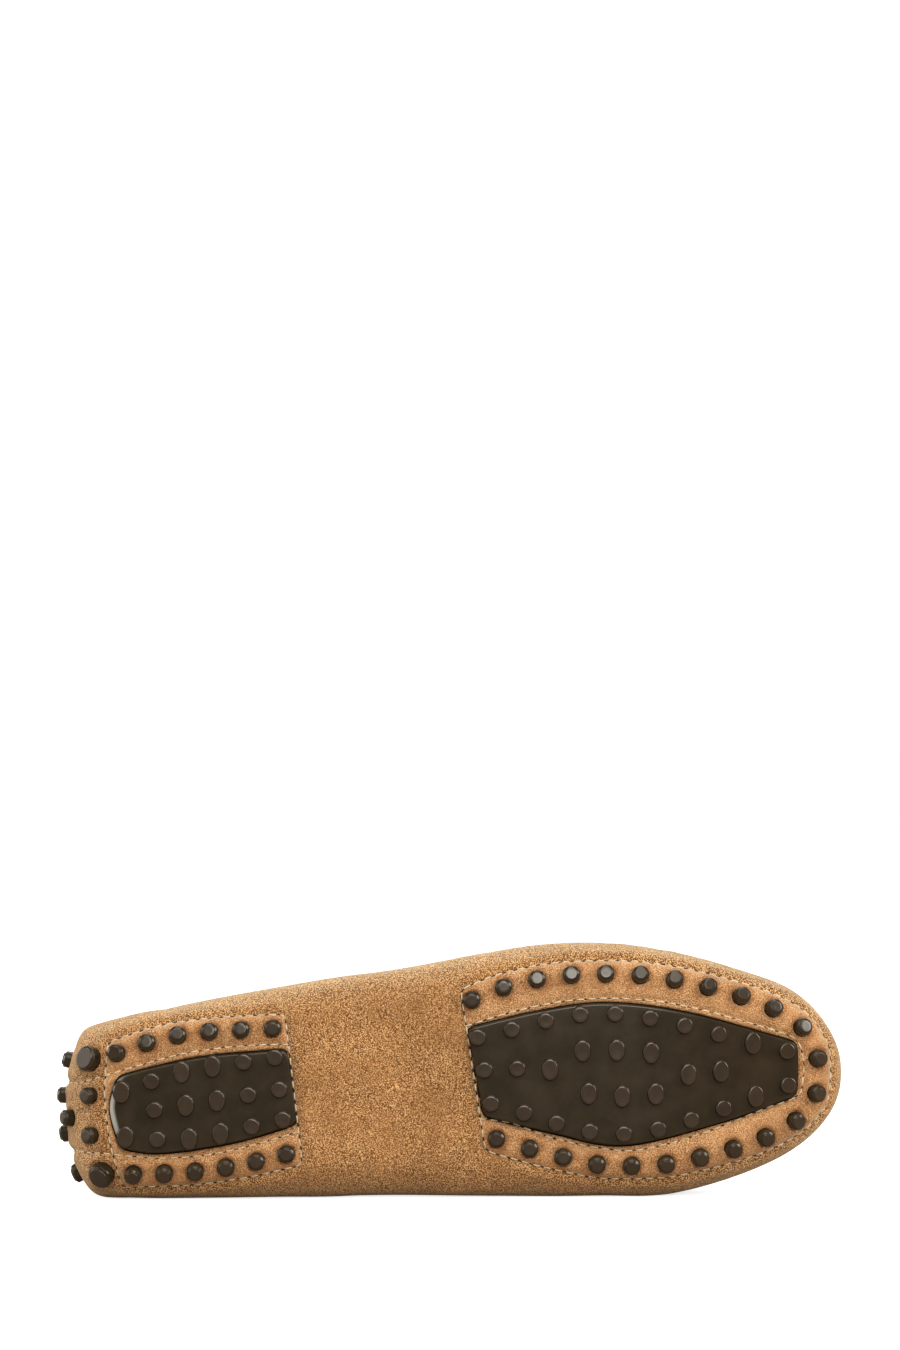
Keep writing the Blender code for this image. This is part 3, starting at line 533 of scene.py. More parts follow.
# Inner rows of stitches, round each pad: the forefoot's starts and ends on the rear seam, and the heel's two
# run on over the tab and, between two gaps, up the back of the heel
FOREFOOT_INNER = (
    (130.8, -14.6), (150, -20.4), (169, -23.8), (189.7, -23.9), (210.4, -20.5), (236.2, -12.9),
    (241.6, -9.8), (243.4, -4), (243.2, 2), (241.4, 7.6), (230.2, 11.9), (210.4, 19.8), (192.3, 24.9),
    (181, 25.5), (162, 22.1), (147, 16.9), (135.6, 15.4),
)
HEEL_INNER_LATERAL = ((74.2, -8.6), (58.5, -8), (40.1, -5.6), (24.3, -1.4), (12.7, 2.1), (4.3, 4.5))
HEEL_INNER_MEDIAL = ((77.9, 19.8), (61.1, 24.8), (45.4, 28.1), (29.6, 29), (15.1, 27.9), (4.9, 27.4))
BACK_ROWS_FOOT_GAP, BACK_ROWS_TOP_GAP = 4.0, 3.0

# The row of stitches below the collar's binding, which ends at the throat
COLLAR_ROW_DROP, COLLAR_ROW_END = 4.2, 153.0


def tab_arch(y):
    """Height of the heel tab's arched top at a side position."""
    share = (y - HEEL_ORIGIN[1]) / HEEL_HALF
    return TAB_TOP - (TAB_TOP - TAB_SHOULDER) * share**2


def seam_x(y):
    """The x of the seam between heel patch and tab."""
    path = smooth_path(HEEL_SEAM)[::-1]
    return np.interp(y, path[:, 1], path[:, 0])


SEAM_LATERAL, SEAM_MEDIAL = HEEL_SEAM[-1], HEEL_SEAM[0]


def under_tab(points, overlap=0.0):
    """Which points of the upper's outer face the heel tab covers, with an overlap at its two sides."""
    y = np.clip(points[:, 1], SEAM_LATERAL[1], SEAM_MEDIAL[1])
    behind = points[:, 0] <= seam_x(y) + np.where(y == points[:, 1], 0.0, overlap)
    return behind & (points[:, 2] <= tab_arch(points[:, 1]))


def tab_side(x):
    """Angle from straight back at which the heel's outline is at x."""
    back = HEEL_CENTRE - x
    across = HEEL_HALF * (1 - (back / HEEL_CENTRE) ** HEEL_SQUARENESS) ** (1 / HEEL_SQUARENESS)
    return math.atan2(across, back)


# The tab's columns, its rows and how far its sides lie flush over the upper's edge, and the same for the
# stitches along its top. Both are picked from fine profiles of the heel.
TAB_GRID = (170, 70, 1.4)
TAB_PROUD = 0.05
TAB_EDGE_GRID = (120, 2, 0.0)
TAB_PROFILE, TAB_FINE = (60, 40, 90), 0.1


def tab_columns(count, rows, overlap):
    """Lines up the tab from its seam on the sole to its arched top, from the outer side to the inner one."""
    lateral, medial = -tab_side(SEAM_LATERAL[0] + overlap), tab_side(SEAM_MEDIAL[0] + overlap)
    found = []
    for a in np.linspace(lateral, medial, count + 2)[1:-1]:
        ray = heel_ray(np.array((-math.cos(a), math.sin(a))))
        line = resample(profile(ray, *TAB_PROFILE), TAB_FINE)
        line = line[under_tab(line, overlap)]
        found.append(pick(line, np.linspace(0, along(line)[-1], rows)))
    return np.array(found)


TAB = tab_columns(*TAB_GRID)


def evened(values, times):
    """Values along an open line, drawn towards their neighbours several times. The two ends stay."""
    values = values.copy()
    for _ in range(times):
        values[1:-1] = (values[:-2] + values[1:-1] + values[2:]) / 3
    return values


SEAM_SPACING, SEAM_EVENING = 0.8, 4


def soften(path):
    """An open path without its small steps."""
    return evened(resample(path, SEAM_SPACING), SEAM_EVENING)


def up_the_back(path):
    """A row of stitches from the sole on over the tab and up the heel's back, as points of the suede."""
    under = sole_points(smooth_path(path))
    _, y, foot = under[-1]
    heights = np.arange(foot + BACK_ROWS_FOOT_GAP, tab_arch(y) - BACK_ROWS_TOP_GAP, 1.0)
    return soften(np.vstack((under, back_points(np.full(len(heights), y), heights))))


# The collar's half sections: steps along the shoe and round the heel, least opening and points up the wall
COLLAR_STEP, COLLAR_FAN = 1.6, 48
LEAST_OPENING = 0.6
COLLAR_WALL_POINTS = 40


def collar_rays():
    """Half sections that end at the collar, from the outer throat corner round the heel to the inner one."""
    rays = [ray for ray in all_rays(COLLAR_STEP, COLLAR_FAN) if ray.opening > LEAST_OPENING]
    start = [ray.direction[1] for ray in rays].index(-1.0)
    return rays[start:] + rays[:start]


def collar_line(drop, depth):
    """A line at a drop below the collar's edge along the wall and at a depth inside the suede's face."""
    found = []
    for ray in collar_rays():
        wall = wall_points(ray, np.linspace(1, 0, COLLAR_WALL_POINTS))
        found.append(pick(wall, drop)[0] - depth * np.array((*ray.direction, 0.0)))
    return np.array(found)


def collar_row():
    line = collar_line(COLLAR_ROW_DROP, 0.0)
    return soften(line[line[:, 0] < COLLAR_ROW_END])


SEAMS = {
    "forefoot_outer": sole_points(closed(FOREFOOT)),
    "forefoot_inner": sole_points(smooth_path(FOREFOOT_INNER)),
    "heel_outer": sole_points(closed(HEEL)),
    "heel_inner_lateral": up_the_back(HEEL_INNER_LATERAL),
    "heel_inner_medial": up_the_back(HEEL_INNER_MEDIAL),
    "tab_edge": soften(tab_columns(*TAB_EDGE_GRID)[:, -1]),
    "collar": collar_row(),
}
FOREFOOT_SEAMS = ("forefoot_outer", "forefoot_inner")
HEEL_SEAMS = ("heel_outer", "heel_inner_lateral", "heel_inner_medial")

# Main creases of the upper: troughs across the vamp where the foot bends and at the heel's sides, each along
# a line by station and share of the way up, with its depth and half width
Crease = namedtuple("Crease", "side start end depth width")
CREASES = (
    Crease("lateral", (186, 0.12), (180, 0.62), 0.9, 2.6),
    Crease("lateral", (197, 0.10), (192, 0.55), 0.7, 2.4),
    Crease("lateral", (174, 0.20), (167, 0.66), 0.6, 2.8),
    Crease("medial", (188, 0.14), (181, 0.60), 0.8, 2.6),
    Crease("medial", (199, 0.12), (194, 0.50), 0.6, 2.4),
    Crease("lateral", (70, 0.55), (88, 0.30), 0.6, 4.0),
    Crease("medial", (66, 0.60), (84, 0.34), 0.6, 4.0),
    Crease("lateral", (120, 0.70), (132, 0.35), 0.7, 4.5),
    Crease("medial", (122, 0.72), (134, 0.38), 0.6, 4.5),
)
CREASE_POINTS = 24


def crease_line(crease):
    found = []
    for x, t in np.linspace(crease.start, crease.end, CREASE_POINTS):
        found.append(wall_points(body_ray(x, crease.side), np.array((t,)))[0])
    return np.array(found)


# Studs

Stud = namedtuple("Stud", "point normal radius across")


def sole_studs(plan, radius, across):
    """Studs at places in plan, by their half sizes along and across the shoe."""
    return [Stud(p, n, radius, across) for p, n in zip(sole_points(plan), sole_normals(plan))]


def edge_studs(side, count, ends):
    """Round studs evenly along a patch's side, through the suede."""
    path = offset(side, STUD_INSET)
    spots = np.linspace(ends[0], along(path)[-1] - ends[1], count)
    return sole_studs(pick(path, spots), STUD_RADIUS, STUD_RADIUS)


def pad_studs(rows):
    """Low studs on a pad, in rows."""
    found = []
    for row in rows:
        path = smooth_path(row.curve)
        spots = pick(path, np.linspace(0, along(path)[-1], row.count))
        for i, spot in enumerate(spots):
            across = OVAL_RADIUS if i in row.ovals else STUD_RADIUS
            found += sole_studs(spot[None], STUD_RADIUS, across)
    return found


def tab_studs():
    """Studs round the heel's bottom edge and up its back."""
    found = []
    for i, spot in enumerate(TAB_EDGE_STUDS):
        radius = LARGE_RADIUS if i in TAB_LARGE_STUDS else STUD_RADIUS
        found += sole_studs(np.array([spot], float), radius, radius)
    y, z = np.array(TAB_BACK_STUDS).T
    places = zip(back_points(y, z), surface_normals(back_points, y, z, (-1, 0, 0)))
    return found + [Stud(p, n, STUD_RADIUS, STUD_RADIUS) for p, n in places]


FOREFOOT_TALL = edge_studs(FOREFOOT_SIDE, FOREFOOT_STUDS, FOREFOOT_ENDS)
HEEL_TALL = edge_studs(smooth_path(HEEL_LATERAL), HEEL_STUDS, HEEL_LATERAL_ENDS)
HEEL_TALL += edge_studs(smooth_path(HEEL_MEDIAL), HEEL_STUDS, HEEL_MEDIAL_ENDS)
TAB_TALL = tab_studs()


# Meshes

def lying():
    """The turn and move from the shoe's own frame to the row frame, in millimetres."""
    over = Matrix.Rotation(-math.radians(90 + LEAN_DEG), 4, "X")
    turn = np.array((Matrix.Rotation(math.radians(INCLINE_DEG), 4, "Y") @ over).to_3x3())
    mount = next(m for m in frame["record"]["mounts"] if m["name"] == "heel_studs")
    return turn, np.array(mount["pos_m"]) / MM - turn @ np.array(HEEL_MOUNT)


TURN, MOVE = lying()


# The lasted form differs a little from even sections: the outer heel corner is rounder, the inner one
# squarer and the toe fuller. Each swell has a middle, a reach and the move at its middle.
Swell = namedtuple("Swell", "middle reach move")
SWELLS = (
    Swell((17.0, -18.0, 22.0), 11.0, (-0.6, 2.8, 0.0)),
    Swell((7.0, -12.0, 22.0), 6.0, (-1.2, -0.6, 0.0)),
    Swell((9.0, 40.0, 22.0), 9.0, (-1.0, 3.0, 0.0)),
    Swell((2.0, 11.0, 24.0), 14.0, (-1.2, 0.0, 0.0)),
    Swell((252.0, 0.0, 26.0), 16.0, (1.5, 0.0, 0.0)),
    Swell((238.0, -22.0, 26.0), 15.0, (1.2, -2.0, 0.0)),
    Swell((238.0, 22.0, 26.0), 15.0, (0.4, 0.4, 0.0)),
)


def swell(points):
    """Points of the shoe moved by the swells."""
    moved = points.copy()
    for middle, reach, move in SWELLS:
        share = bell(np.linalg.norm(points - np.array(middle), axis=1), reach)
        moved += share[:, None] * np.array(move)
    return moved


def add_object(name, data):
    obj = bpy.data.objects.new(name, data)
    bpy.context.scene.collection.objects.link(obj)
    return obj


class Shape:
    """Corners and faces that are gathered from several parts before they become one mesh."""

    def __init__(self):
        self.corners, self.faces, self.count = [], [], 0

    def add(self, corners, faces):
        self.faces += [tuple(k + self.count for k in face) for face in faces]
        self.corners.append(np.asarray(corners, float))
        self.count += len(corners)

    def stack(self, rings, capped=True):
        """A tube through rings of as many points each, with its ends closed by fans if asked."""
        n, faces = len(rings[0]), []
        top, tip = n * (len(rings) - 1), n * len(rings)
        for a in range(0, top, n):
            faces += [(a + i, a + (i + 1) % n, a + n + (i + 1) % n, a + n + i) for i in range(n)]
        corners = list(np.vstack(rings))
        if capped:
            corners += [np.mean(rings[0], axis=0), np.mean(rings[-1], axis=0)]
            faces += [(tip, (i + 1) % n, i) for i in range(n)]
            faces += [(top + i, top + (i + 1) % n, tip + 1) for i in range(n)]
        self.add(corners, faces)

    def make(self, name, material, smooth=True, open_face=False):
        """One mesh object, flat where it lies on the floor.

        An open face is joined where corners share a place, and a closed form gets outward normals.
        """
        corners = (swell(np.vstack(self.corners)) @ TURN.T + MOVE) * MM
        corners[:, 2] = np.maximum(corners[:, 2], 0.0)
        mesh = bpy.data.meshes.new(name)
        mesh.from_pydata(corners.tolist(), [], self.faces)
        bm = bmesh.new()
        bm.from_mesh(mesh)
        if open_face:
            bmesh.ops.remove_doubles(bm, verts=bm.verts, dist=WELD_DISTANCE * MM)
        else:
            bmesh.ops.recalc_face_normals(bm, faces=bm.faces)
        bm.to_mesh(mesh)
        bm.free()
        mesh.polygons.foreach_set("use_smooth", np.full(len(mesh.polygons), smooth))
        mesh.materials.append(material)
        return add_object(name, mesh)


def paint(obj, name, values):
    """A number for each corner of a mesh, which its material reads by name."""
    layer = obj.data.attributes.new(name, "FLOAT", "POINT")
    layer.data.foreach_set("value", np.asarray(values, np.float32))


# Along the rounded edge of the sole the grain has the most contrast, partly for a rougher nap and partly as
# painted shade and highlights of the nap in grazing light: this far above its flat, and this far up and down
NAP_SHADING_RISE, NAP_SHADING_REACH = 6.5, 4.5


def paint_nap_and_shading(obj):
    """Paints how rough the nap is on a piece of suede, together with the painted shade and highlights of its
    grain.
    """
    corners = np.empty(3 * len(obj.data.vertices))
    obj.data.vertices.foreach_get("co", corners)
    points = (corners.reshape(-1, 3) / MM - MOVE) @ TURN
    paint(obj, "nap_and_shading", bell(points[:, 2] - base_height(points[:, 0]) - NAP_SHADING_RISE, NAP_SHADING_REACH))
    return obj


def place(obj, slot, *nodes):
    """Puts a piece on the shoe's body and in place of solids. Its slot is not used."""
    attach(obj, "root")
    if nodes:
        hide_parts(*nodes)


def ellipse(middle, ahead, aside, count):
    """Points round a middle, by two half axes."""
    turn = np.linspace(0, 2 * math.pi, count, endpoint=False)[:, None]
    return middle + np.cos(turn) * ahead + np.sin(turn) * aside


def tube(shape, path, radius, sides, closed_path=False):
    """A round cord along a path of points."""
    step = headings(path, closed_path)
    side = unit(np.cross(step, (0.0, 0.0, 1.0)))
    rise = np.cross(side, step)
    radii = np.broadcast_to(radius, len(path))
    rings = [ellipse(p, size * s, size * r, sides) for p, s, r, size in zip(path, side, rise, radii)]
    if closed_path:
        rings.append(rings[0])
    shape.stack(rings, capped=not closed_path)


def rim_of(faces):
    """The edges of triangles that no other triangle shares."""
    edges = {edge for a, b, c in faces for edge in ((a, b), (b, c), (c, a))}
    return sorted(edge for edge in edges if edge[::-1] not in edges)


# The triangulation's kind that keeps only triangles within the outline, and the distance of equal corners
INSIDE_CONSTRAINTS, SAME_CORNER = 1, 1e-6

# Corners inside a sheet keep this share of their spacing from its edges
EDGE_CLEARANCE = 0.6


def plan_mesh(outer, holes, spacing):
    """Triangles of the plan within an outline and round its holes: places, faces and the rim's edges."""
    loops = [outer, *holes]
    low, high = outer.min(axis=0), outer.max(axis=0)
    rows = np.arange(low[1], high[1], spacing * math.sqrt(3) / 2)
    grid = []
    for k, y in enumerate(rows):
        xs = np.arange(low[0] + (k % 2) * spacing / 2, high[0], spacing)
        grid.append(np.column_stack((xs, np.full(len(xs), y))))
    grid = np.vstack(grid)
    free = inside(outer, grid)
    for hole in holes:
        free &= ~inside(hole, grid)
    grid = grid[free]
    grid = grid[nearest([closed(loop) for loop in loops], grid) > spacing * EDGE_CLEARANCE]
    edges, start = [], 0
    for loop in loops:
        edges += [(start + k, start + (k + 1) % len(loop)) for k in range(len(loop))]
        start += len(loop)
    spots = [Vector(p) for p in np.vstack((*loops, grid))]
    verts, _, faces, *_ = delaunay_2d_cdt(spots, edges, [], INSIDE_CONSTRAINTS, SAME_CORNER)
    plan, faces = np.array([v[:] for v in verts]), np.array(faces)
    middles = plan[faces].mean(axis=1)
    kept = np.ones(len(faces), bool)
    for hole in holes:
        kept &= ~inside(hole, middles)
    used, faces = np.unique(faces[kept], return_inverse=True)
    faces = faces.reshape(-1, 3)
    return plan[used], faces, rim_of(faces)


def slab(top, bottom, faces, rim):
    """A closed sheet between two layers with the same faces, which run clockwise as the top shows them."""
    n = len(top)
    sides = [(b, a, a + n, b + n) for a, b in rim]
    shape = Shape()
    shape.add(np.vstack((top, bottom)), [*faces, *(face[::-1] + n for face in faces), *sides])
    return shape


# Suede

def sewn(points, names, relief):
    """The relief of suede that is drawn in along rows of stitches and puffed up beside them."""
    distance = nearest([SEAMS[name] for name in names], points)
    puff = PUFF_HEIGHT * bell(distance - PUFF_AWAY, PUFF_WIDTH)
    drawn = bell(distance, GROOVE_WIDTH)
    return (relief + puff) * (1 - drawn) - GROOVE_DEPTH * drawn


# A sheet dips along its edge and puffs up beside it
Lip = namedtuple("Lip", "dip dip_width puff puff_away puff_width")
STUD_LIP = Lip(0.45, 0.55, 0.22, 1.3, 0.8)
PAD_LIP = Lip(0.75, 0.45, 0.25, 0.9, 0.5)
APRON_LIP = Lip(0.7, 1.2, 0.25, 5.0, 2.5)
INSOLE_LIP = Lip(0.5, 0.8, 0.0, 0.0, 1.0)


def lip_relief(distance, lip):
    """Relief of a sheet at a distance from its edge."""
    puff = lip.puff * bell(distance - lip.puff_away, lip.puff_width)
    return puff - lip.dip * bell(distance, lip.dip_width)


# Holes in the sole's patches, and stains round the studs and along the pads
PATCH_SPACING = 0.85
PAD_WINDOW = 0.7
HOLE_CLEARANCE, HOLE_SIDES = 0.12, 28
STAIN_REACH = 3.2
TAB_STAIN = 0.4
PAD_STAIN, PAD_STAIN_REACH = 0.7, 1.2


def sole_patch(name, outline, pad, studs, seams, material):
    """A suede patch of the sole with a window for its pad and a hole for each stud."""
    window = offset(pad, -PAD_WINDOW, closed_path=True)
    holes = []
    for stud in studs:
        half_axes = np.diag((stud.radius + HOLE_CLEARANCE, stud.across + HOLE_CLEARANCE))
        holes.append(ellipse(stud.point[:2], *half_axes, HOLE_SIDES))
    plan, faces, rim = plan_mesh(outline, [window, *holes], PATCH_SPACING)
    to_hole = nearest([closed(hole) for hole in holes], plan)
    to_pad = nearest([closed(window)], plan)
    points, normals = sole_points(plan), sole_normals(plan)
    relief = lip_relief(to_hole, STUD_LIP) + lip_relief(to_pad, PAD_LIP)
    height = sewn(points, seams, relief)[:, None]
    sheet = slab(points + normals * height, points - normals * PATCH_THICKNESS, faces, rim)
    obj = sheet.make(name, material)
    stain = np.maximum(bell(to_hole, STAIN_REACH), PAD_STAIN * bell(to_pad, PAD_STAIN_REACH))
    paint(obj, "stain", np.tile(stain, 2))
    return obj


# A height well within the shoe, which tells outwards from inwards
WITHIN = 25.0


def grid_normals(grid, centre, wrapped):
    """Outward normals of a grid of points, away from a line along the shoe or from a point."""
    if wrapped:
        du = np.roll(grid, -1, axis=0) - np.roll(grid, 1, axis=0)
    else:
        du = np.gradient(grid, axis=0)
    normal = np.cross(du, np.gradient(grid, axis=1))
    length = np.linalg.norm(normal, axis=2)[..., None]
    normal = np.where(length > TINY, normal / np.maximum(length, TINY), (0.0, 0.0, -1.0))
    return normal * np.where(np.sum(normal * (grid - centre), axis=2) < 0, -1.0, 1.0)[..., None]


def heel_tab(material):
    """The suede tab round the heel's bottom edge and up its back, from the seam to the arched top."""
    count, rows = TAB.shape[:2]
    points = TAB.reshape(-1, 3)
    normals = grid_normals(TAB, np.array((*HEEL_ORIGIN, WITHIN)), wrapped=False).reshape(-1, 3)
    studs = np.array([stud.point for stud in TAB_TALL])
    reach = np.array([stud.radius for stud in TAB_TALL])
    to_stud = np.min(np.linalg.norm(points[:, None] - studs, axis=2) - reach, axis=1)
    relief = TAB_PROUD + lip_relief(to_stud, STUD_LIP)
    height = sewn(points, (*HEEL_SEAMS, "tab_edge"), relief)[:, None]
    faces = []
    for i in range(count - 1):
        for a in range(i * rows, (i + 1) * rows - 1):
            faces += [(a, a + 1, a + rows), (a + 1, a + rows + 1, a + rows)]
    top, bottom = points + normals * height, points - normals * PATCH_THICKNESS
    obj = slab(top, bottom, np.array(faces), rim_of(faces)).make("heel_tab_suede", material)
    paint(obj, "stain", np.tile(TAB_STAIN * bell(np.maximum(to_stud, 0), STAIN_REACH), 2))
    return obj


# Grids of the upper: the step along the shoe, the steps round each end, and the rows under the foot, round
# its edge and up the wall
UPPER_GRID = (1.1, 100, (28, 20, 34))
LINING_GRID = (2.6, 44, (10, 8, 22))
VAMP_GRID = (2.0, 48, (6, 6, 40))


def wrap(step, fan_steps, rows):
    """The upper's outer face as a grid: its points, outward normals and faces that look outwards."""
    rays = all_rays(step, fan_steps)
    grid = np.array([profile(ray, *rows) for ray in rays])
    middle = np.array([(*ray.origin, WITHIN) for ray in rays])[:, None, :]
    normals = grid_normals(grid, middle, wrapped=True).reshape(-1, 3)
    count, deep = grid.shape[:2]
    faces = []
    for i in range(count):
        a, b = i * deep, (i + 1) % count * deep
        faces += [(a + j, a + j + 1, b + j + 1, b + j) for j in range(deep - 1)]
    return grid.reshape(-1, 3), normals, faces


def shell(name, points, faces, thickness, material):
    """A wall that grows inwards from its outer face."""
    shape = Shape()
    shape.add(points, faces)
    obj = shape.make(name, material, open_face=True)
    wall = obj.modifiers.new("wall", "SOLIDIFY")
    wall.thickness = thickness * MM
    wall.offset = -1
    return obj


# The vamp's suede is gathered along the apron's edge and stands up there as a ridge that stitches pinch in
APRON_EDGE = smooth_path((*APRON_SIDE, *((x, -y) for x, y in reversed(APRON_SIDE))), 0.5)
APRON_OUTLINE = closed_outline([APRON_EDGE], PATCH_SOFTNESS)
APRON_SPACING, APRON_UNDERSIDE = 1.2, 0.1
GATHER_PITCH = 5.4
GATHER_DEPTH, GATHER_AWAY, GATHER_REACH = 0.75, 2.3, 3.22
RIDGE_RADIUS, RIDGE_PINCH = 1.6, 0.3
RIDGE_RISE, RIDGE_EVENING = 0.95, 6
RIDGE_TAPER, RIDGE_END = 8.0, 0.3
VAMP_LOW = 26.0
ROLL_SIDES = 14

# Below this height the upper lies under the foot, and a crease has low ridges this many widths beside it
UNDER_FOOT = 20.0
CREASE_RIDGE, CREASE_RIDGE_AWAY = 0.4, 2.2


def gathers(points):
    """Relief of the vamp beside the apron's edge."""
    plan = points[:, :2]
    edge_line = resample(APRON_EDGE, SEARCH_SPACING)
    number, distance = search(edge_line, plan)
    wave = np.cos(2 * math.pi * along(edge_line)[number] / GATHER_PITCH)
    outside = ~inside(APRON_OUTLINE, plan) & (points[:, 2] > VAMP_LOW)
    return np.where(outside, GATHER_DEPTH * wave * bell(distance - GATHER_AWAY, GATHER_REACH), 0.0)


def upper(material):
    """The suede upper: one wall round the foot, sunk under the patches that are sewn to it."""
    points, normals, faces = wrap(*UPPER_GRID)
    plan = points[:, :2]
    covered = (points[:, 2] < UNDER_FOOT) & (inside(FOREFOOT, plan) | inside(HEEL, plan))
    covered |= under_tab(points)
    relief = gathers(points)
    for crease in CREASES:
        distance = nearest([crease_line(crease)], points)
        ridge = CREASE_RIDGE * bell(distance - CREASE_RIDGE_AWAY * crease.width, crease.width)
        relief += crease.depth * (ridge - bell(distance, crease.width))
    height = sewn(points, ("forefoot_outer", "heel_outer", "tab_edge", "collar"), relief)
    height = np.where(covered, -WINDOW_DEPTH, height)[:, None]
    return shell("upper_suede", points + normals * height, faces, SUEDE_THICKNESS, material)


def lining(material):
    """The lining inside the suede, from the sole up to the collar."""
    points, normals, faces = wrap(*LINING_GRID)
    return shell("lining", points - normals * LINING_DEPTH, faces, LINING_THICKNESS, material)


BINDING_RADIUS, BINDING_DROP, BINDING_DEPTH = 1.5, 0.8, 1.1


def collar_binding(material):
    """A rolled suede edge over the collar's raw edge."""
    path = collar_line(BINDING_DROP, BINDING_DEPTH)
    for _ in range(2):
        path = (np.roll(path, 1, axis=0) + path + np.roll(path, -1, axis=0)) / 3
    shape = Shape()
    tube(shape, path, BINDING_RADIUS, ROLL_SIDES, closed_path=True)
    return shape.make("collar_binding", material)


# Rubber

# Rows are inset from the outline and height over the suede. Tall studs have a bevel and a raised round face,
# and each pad has a flange under the suede that shows as a dark channel round it.
STUD_SIDES = 36
TALL_ROWS = (
    (0.0, -1.4), (0.0, 0.4), (0.05, 1.7), (0.08, 2.42), (0.13, 2.55), (0.22, 2.64), (0.72, 2.98),
    (0.79, 3.03), (0.82, 3.12), (0.85, 3.28), (0.89, 3.36), (0.97, 3.4), (1.05, 3.41), (1.8, 3.4),
)
LOW_ROWS = (
    (-0.3, 1.7), (-0.08, 1.8), (0.0, 1.9), (0.06, 2.5), (0.1, 2.9), (0.15, 3.08), (0.24, 3.22),
    (0.38, 3.32), (0.56, 3.38), (0.8, 3.4), (1.2, 3.38),
)
PAD_ROWS = (
    (-1.6, -1.0), (-1.6, -0.84), (-0.08, -0.84), (0.0, -0.7), (0.0, 1.35), (0.05, 1.58), (0.16, 1.73),
    (0.34, 1.79), (0.6, PAD_REACH),
)
PAD_SPACING = 2.0

# Studs are rubbed between these heights. A pad's rear end is rounder, with a painted highlight over these
# rows.
RUBBED_FROM, RUBBED_FULL = 2.9, 3.3
REAR_ROUND, REAR_REACH = 2.6, 3.5
HIGHLIGHT_ROWS = (4, 8)


def add_stud(shape, stud, rows):
    """Adds a round or oval stud and returns how rubbed each of its corners is."""
    ahead = unit(np.cross((0.0, 1.0, 0.0), stud.normal))
    aside = np.cross(stud.normal, ahead)
    rings, rubbed = [], []
    for inset, height in rows:
        half_axes = (stud.radius - inset) * ahead, (stud.across - inset) * aside
        rings.append(ellipse(stud.point + height * stud.normal, *half_axes, STUD_SIDES))
        rubbed += [np.clip((height - RUBBED_FROM) / (RUBBED_FULL - RUBBED_FROM), 0, 1)] * STUD_SIDES
    shape.stack(rings)
    return rubbed + [0.0, 1.0]


def fill(shape, start, loop, height):
    """Closes a ring of the shape, whose corners begin at start, with a sheet that follows the sole."""
    plan, faces, _ = plan_mesh(loop, [], PAD_SPACING)
    ring, back = len(loop), shape.count - start
    faces = [tuple(k - back if k < ring else k - ring for k in face) for face in faces]
    shape.add(on_sole(plan[ring:], height), faces)


def tread(name, outline, low, tall, rear_round_and_highlight, material):
    """A raised pad with low studs on it, and the tall studs that stand through the suede round it.

    At its rear end, as far as asked, the edge of the pad is rounder and painted pale as a highlight on its
    bevel.
    """
    shape = Shape()
    count = len(outline)
    # Share of the rear end that is rounder and gets the pale painted highlight
    wear = rear_round_and_highlight * bell(outline[:, 0] - outline[:, 0].min(), REAR_REACH)
    loops, rings = [], []
    for inset, height in PAD_ROWS:
        size = 1 + REAR_ROUND * wear if height > 0 else np.ones(count)
        loops.append(offset(outline, (inset * size)[:, None], closed_path=True))
        rings.append(on_sole(loops[-1], PAD_REACH - (PAD_REACH - height) * size))
    shape.stack(rings, capped=False)
    for k in (0, len(loops) - 1):
        fill(shape, k * count, loops[k], PAD_ROWS[k][1])
    rubbed = [np.zeros(shape.count)]
    rubbed += [add_stud(shape, stud, LOW_ROWS) for stud in low]
    rubbed += [add_stud(shape, stud, TALL_ROWS) for stud in tall]
    # The pale painted highlight over the bevel's rows at the rear end
    rear_highlight = np.zeros(shape.count)
    first, last = HIGHLIGHT_ROWS
    rear_highlight[first * count:last * count] = np.tile(wear, last - first)
    obj = shape.make(name, material)
    paint(obj, "rubbed", np.concatenate(rubbed))
    paint(obj, "rear_highlight", rear_highlight)
    return obj


# Pieces on top and inside

def vamp_tree():
    """A search tree of the upper's outer face, to lay things on the vamp."""
    points, _, faces = wrap(*VAMP_GRID)
    return BVHTree.FromPolygons(points.tolist(), faces)


VAMP = vamp_tree()
ABOVE_ALL = 120.0


def on_vamp(plan):
    """Points of the vamp's outer face under places in plan, and the normals there."""
    points, normals = [], []
    for x, y in plan:
        spot, normal, _, _ = VAMP.ray_cast(Vector((x, y, ABOVE_ALL)), Vector((0, 0, -1)))
        points.append(spot[:])
        normals.append((normal if normal.z > 0 else -normal)[:])
    return np.array(points), np.array(normals)


def apron(material):
    """The apron over the vamp, a little padded, with its edge turned down to the seam."""
    plan, faces, rim = plan_mesh(APRON_OUTLINE, [], APRON_SPACING)
    points, normals = on_vamp(plan)
    relief = lip_relief(nearest([closed(APRON_OUTLINE)], plan), APRON_LIP)
    top = points + normals * (GAP + APRON_THICKNESS + relief)[:, None]
    return slab(top, points + normals * APRON_UNDERSIDE, faces, rim).make("apron_suede", material)


def ridge_line():
    """The middle of the apron's sewn ridge, the normals there and the run along it."""
    points, normals = on_vamp(APRON_EDGE)
    normals = evened(normals, RIDGE_EVENING)
    return points + normals * RIDGE_RISE, normals, along(APRON_EDGE)


def apron_ridge(material):
    """The ridge of gathered suede round the apron, which tapers off at the throat."""
    middle, _, run = ridge_line()
    wave = np.cos(2 * math.pi * run / GATHER_PITCH)
    ends = np.clip(np.minimum(run, run[-1] - run) / RIDGE_TAPER, RIDGE_END, 1.0)
    shape = Shape()
    tube(shape, middle, (RIDGE_RADIUS + RIDGE_PINCH * wave) * ends, ROLL_SIDES)
    return shape.make("apron_ridge_suede", material)


# The sock's outline: the steps along the shoe and round its ends, its softness and the spacings
INSOLE_STEP, INSOLE_FAN = 2.0, 40
INSOLE_SOFTNESS, INSOLE_EDGE_SPACING, INSOLE_SPACING = 3, 1.5, 2.5


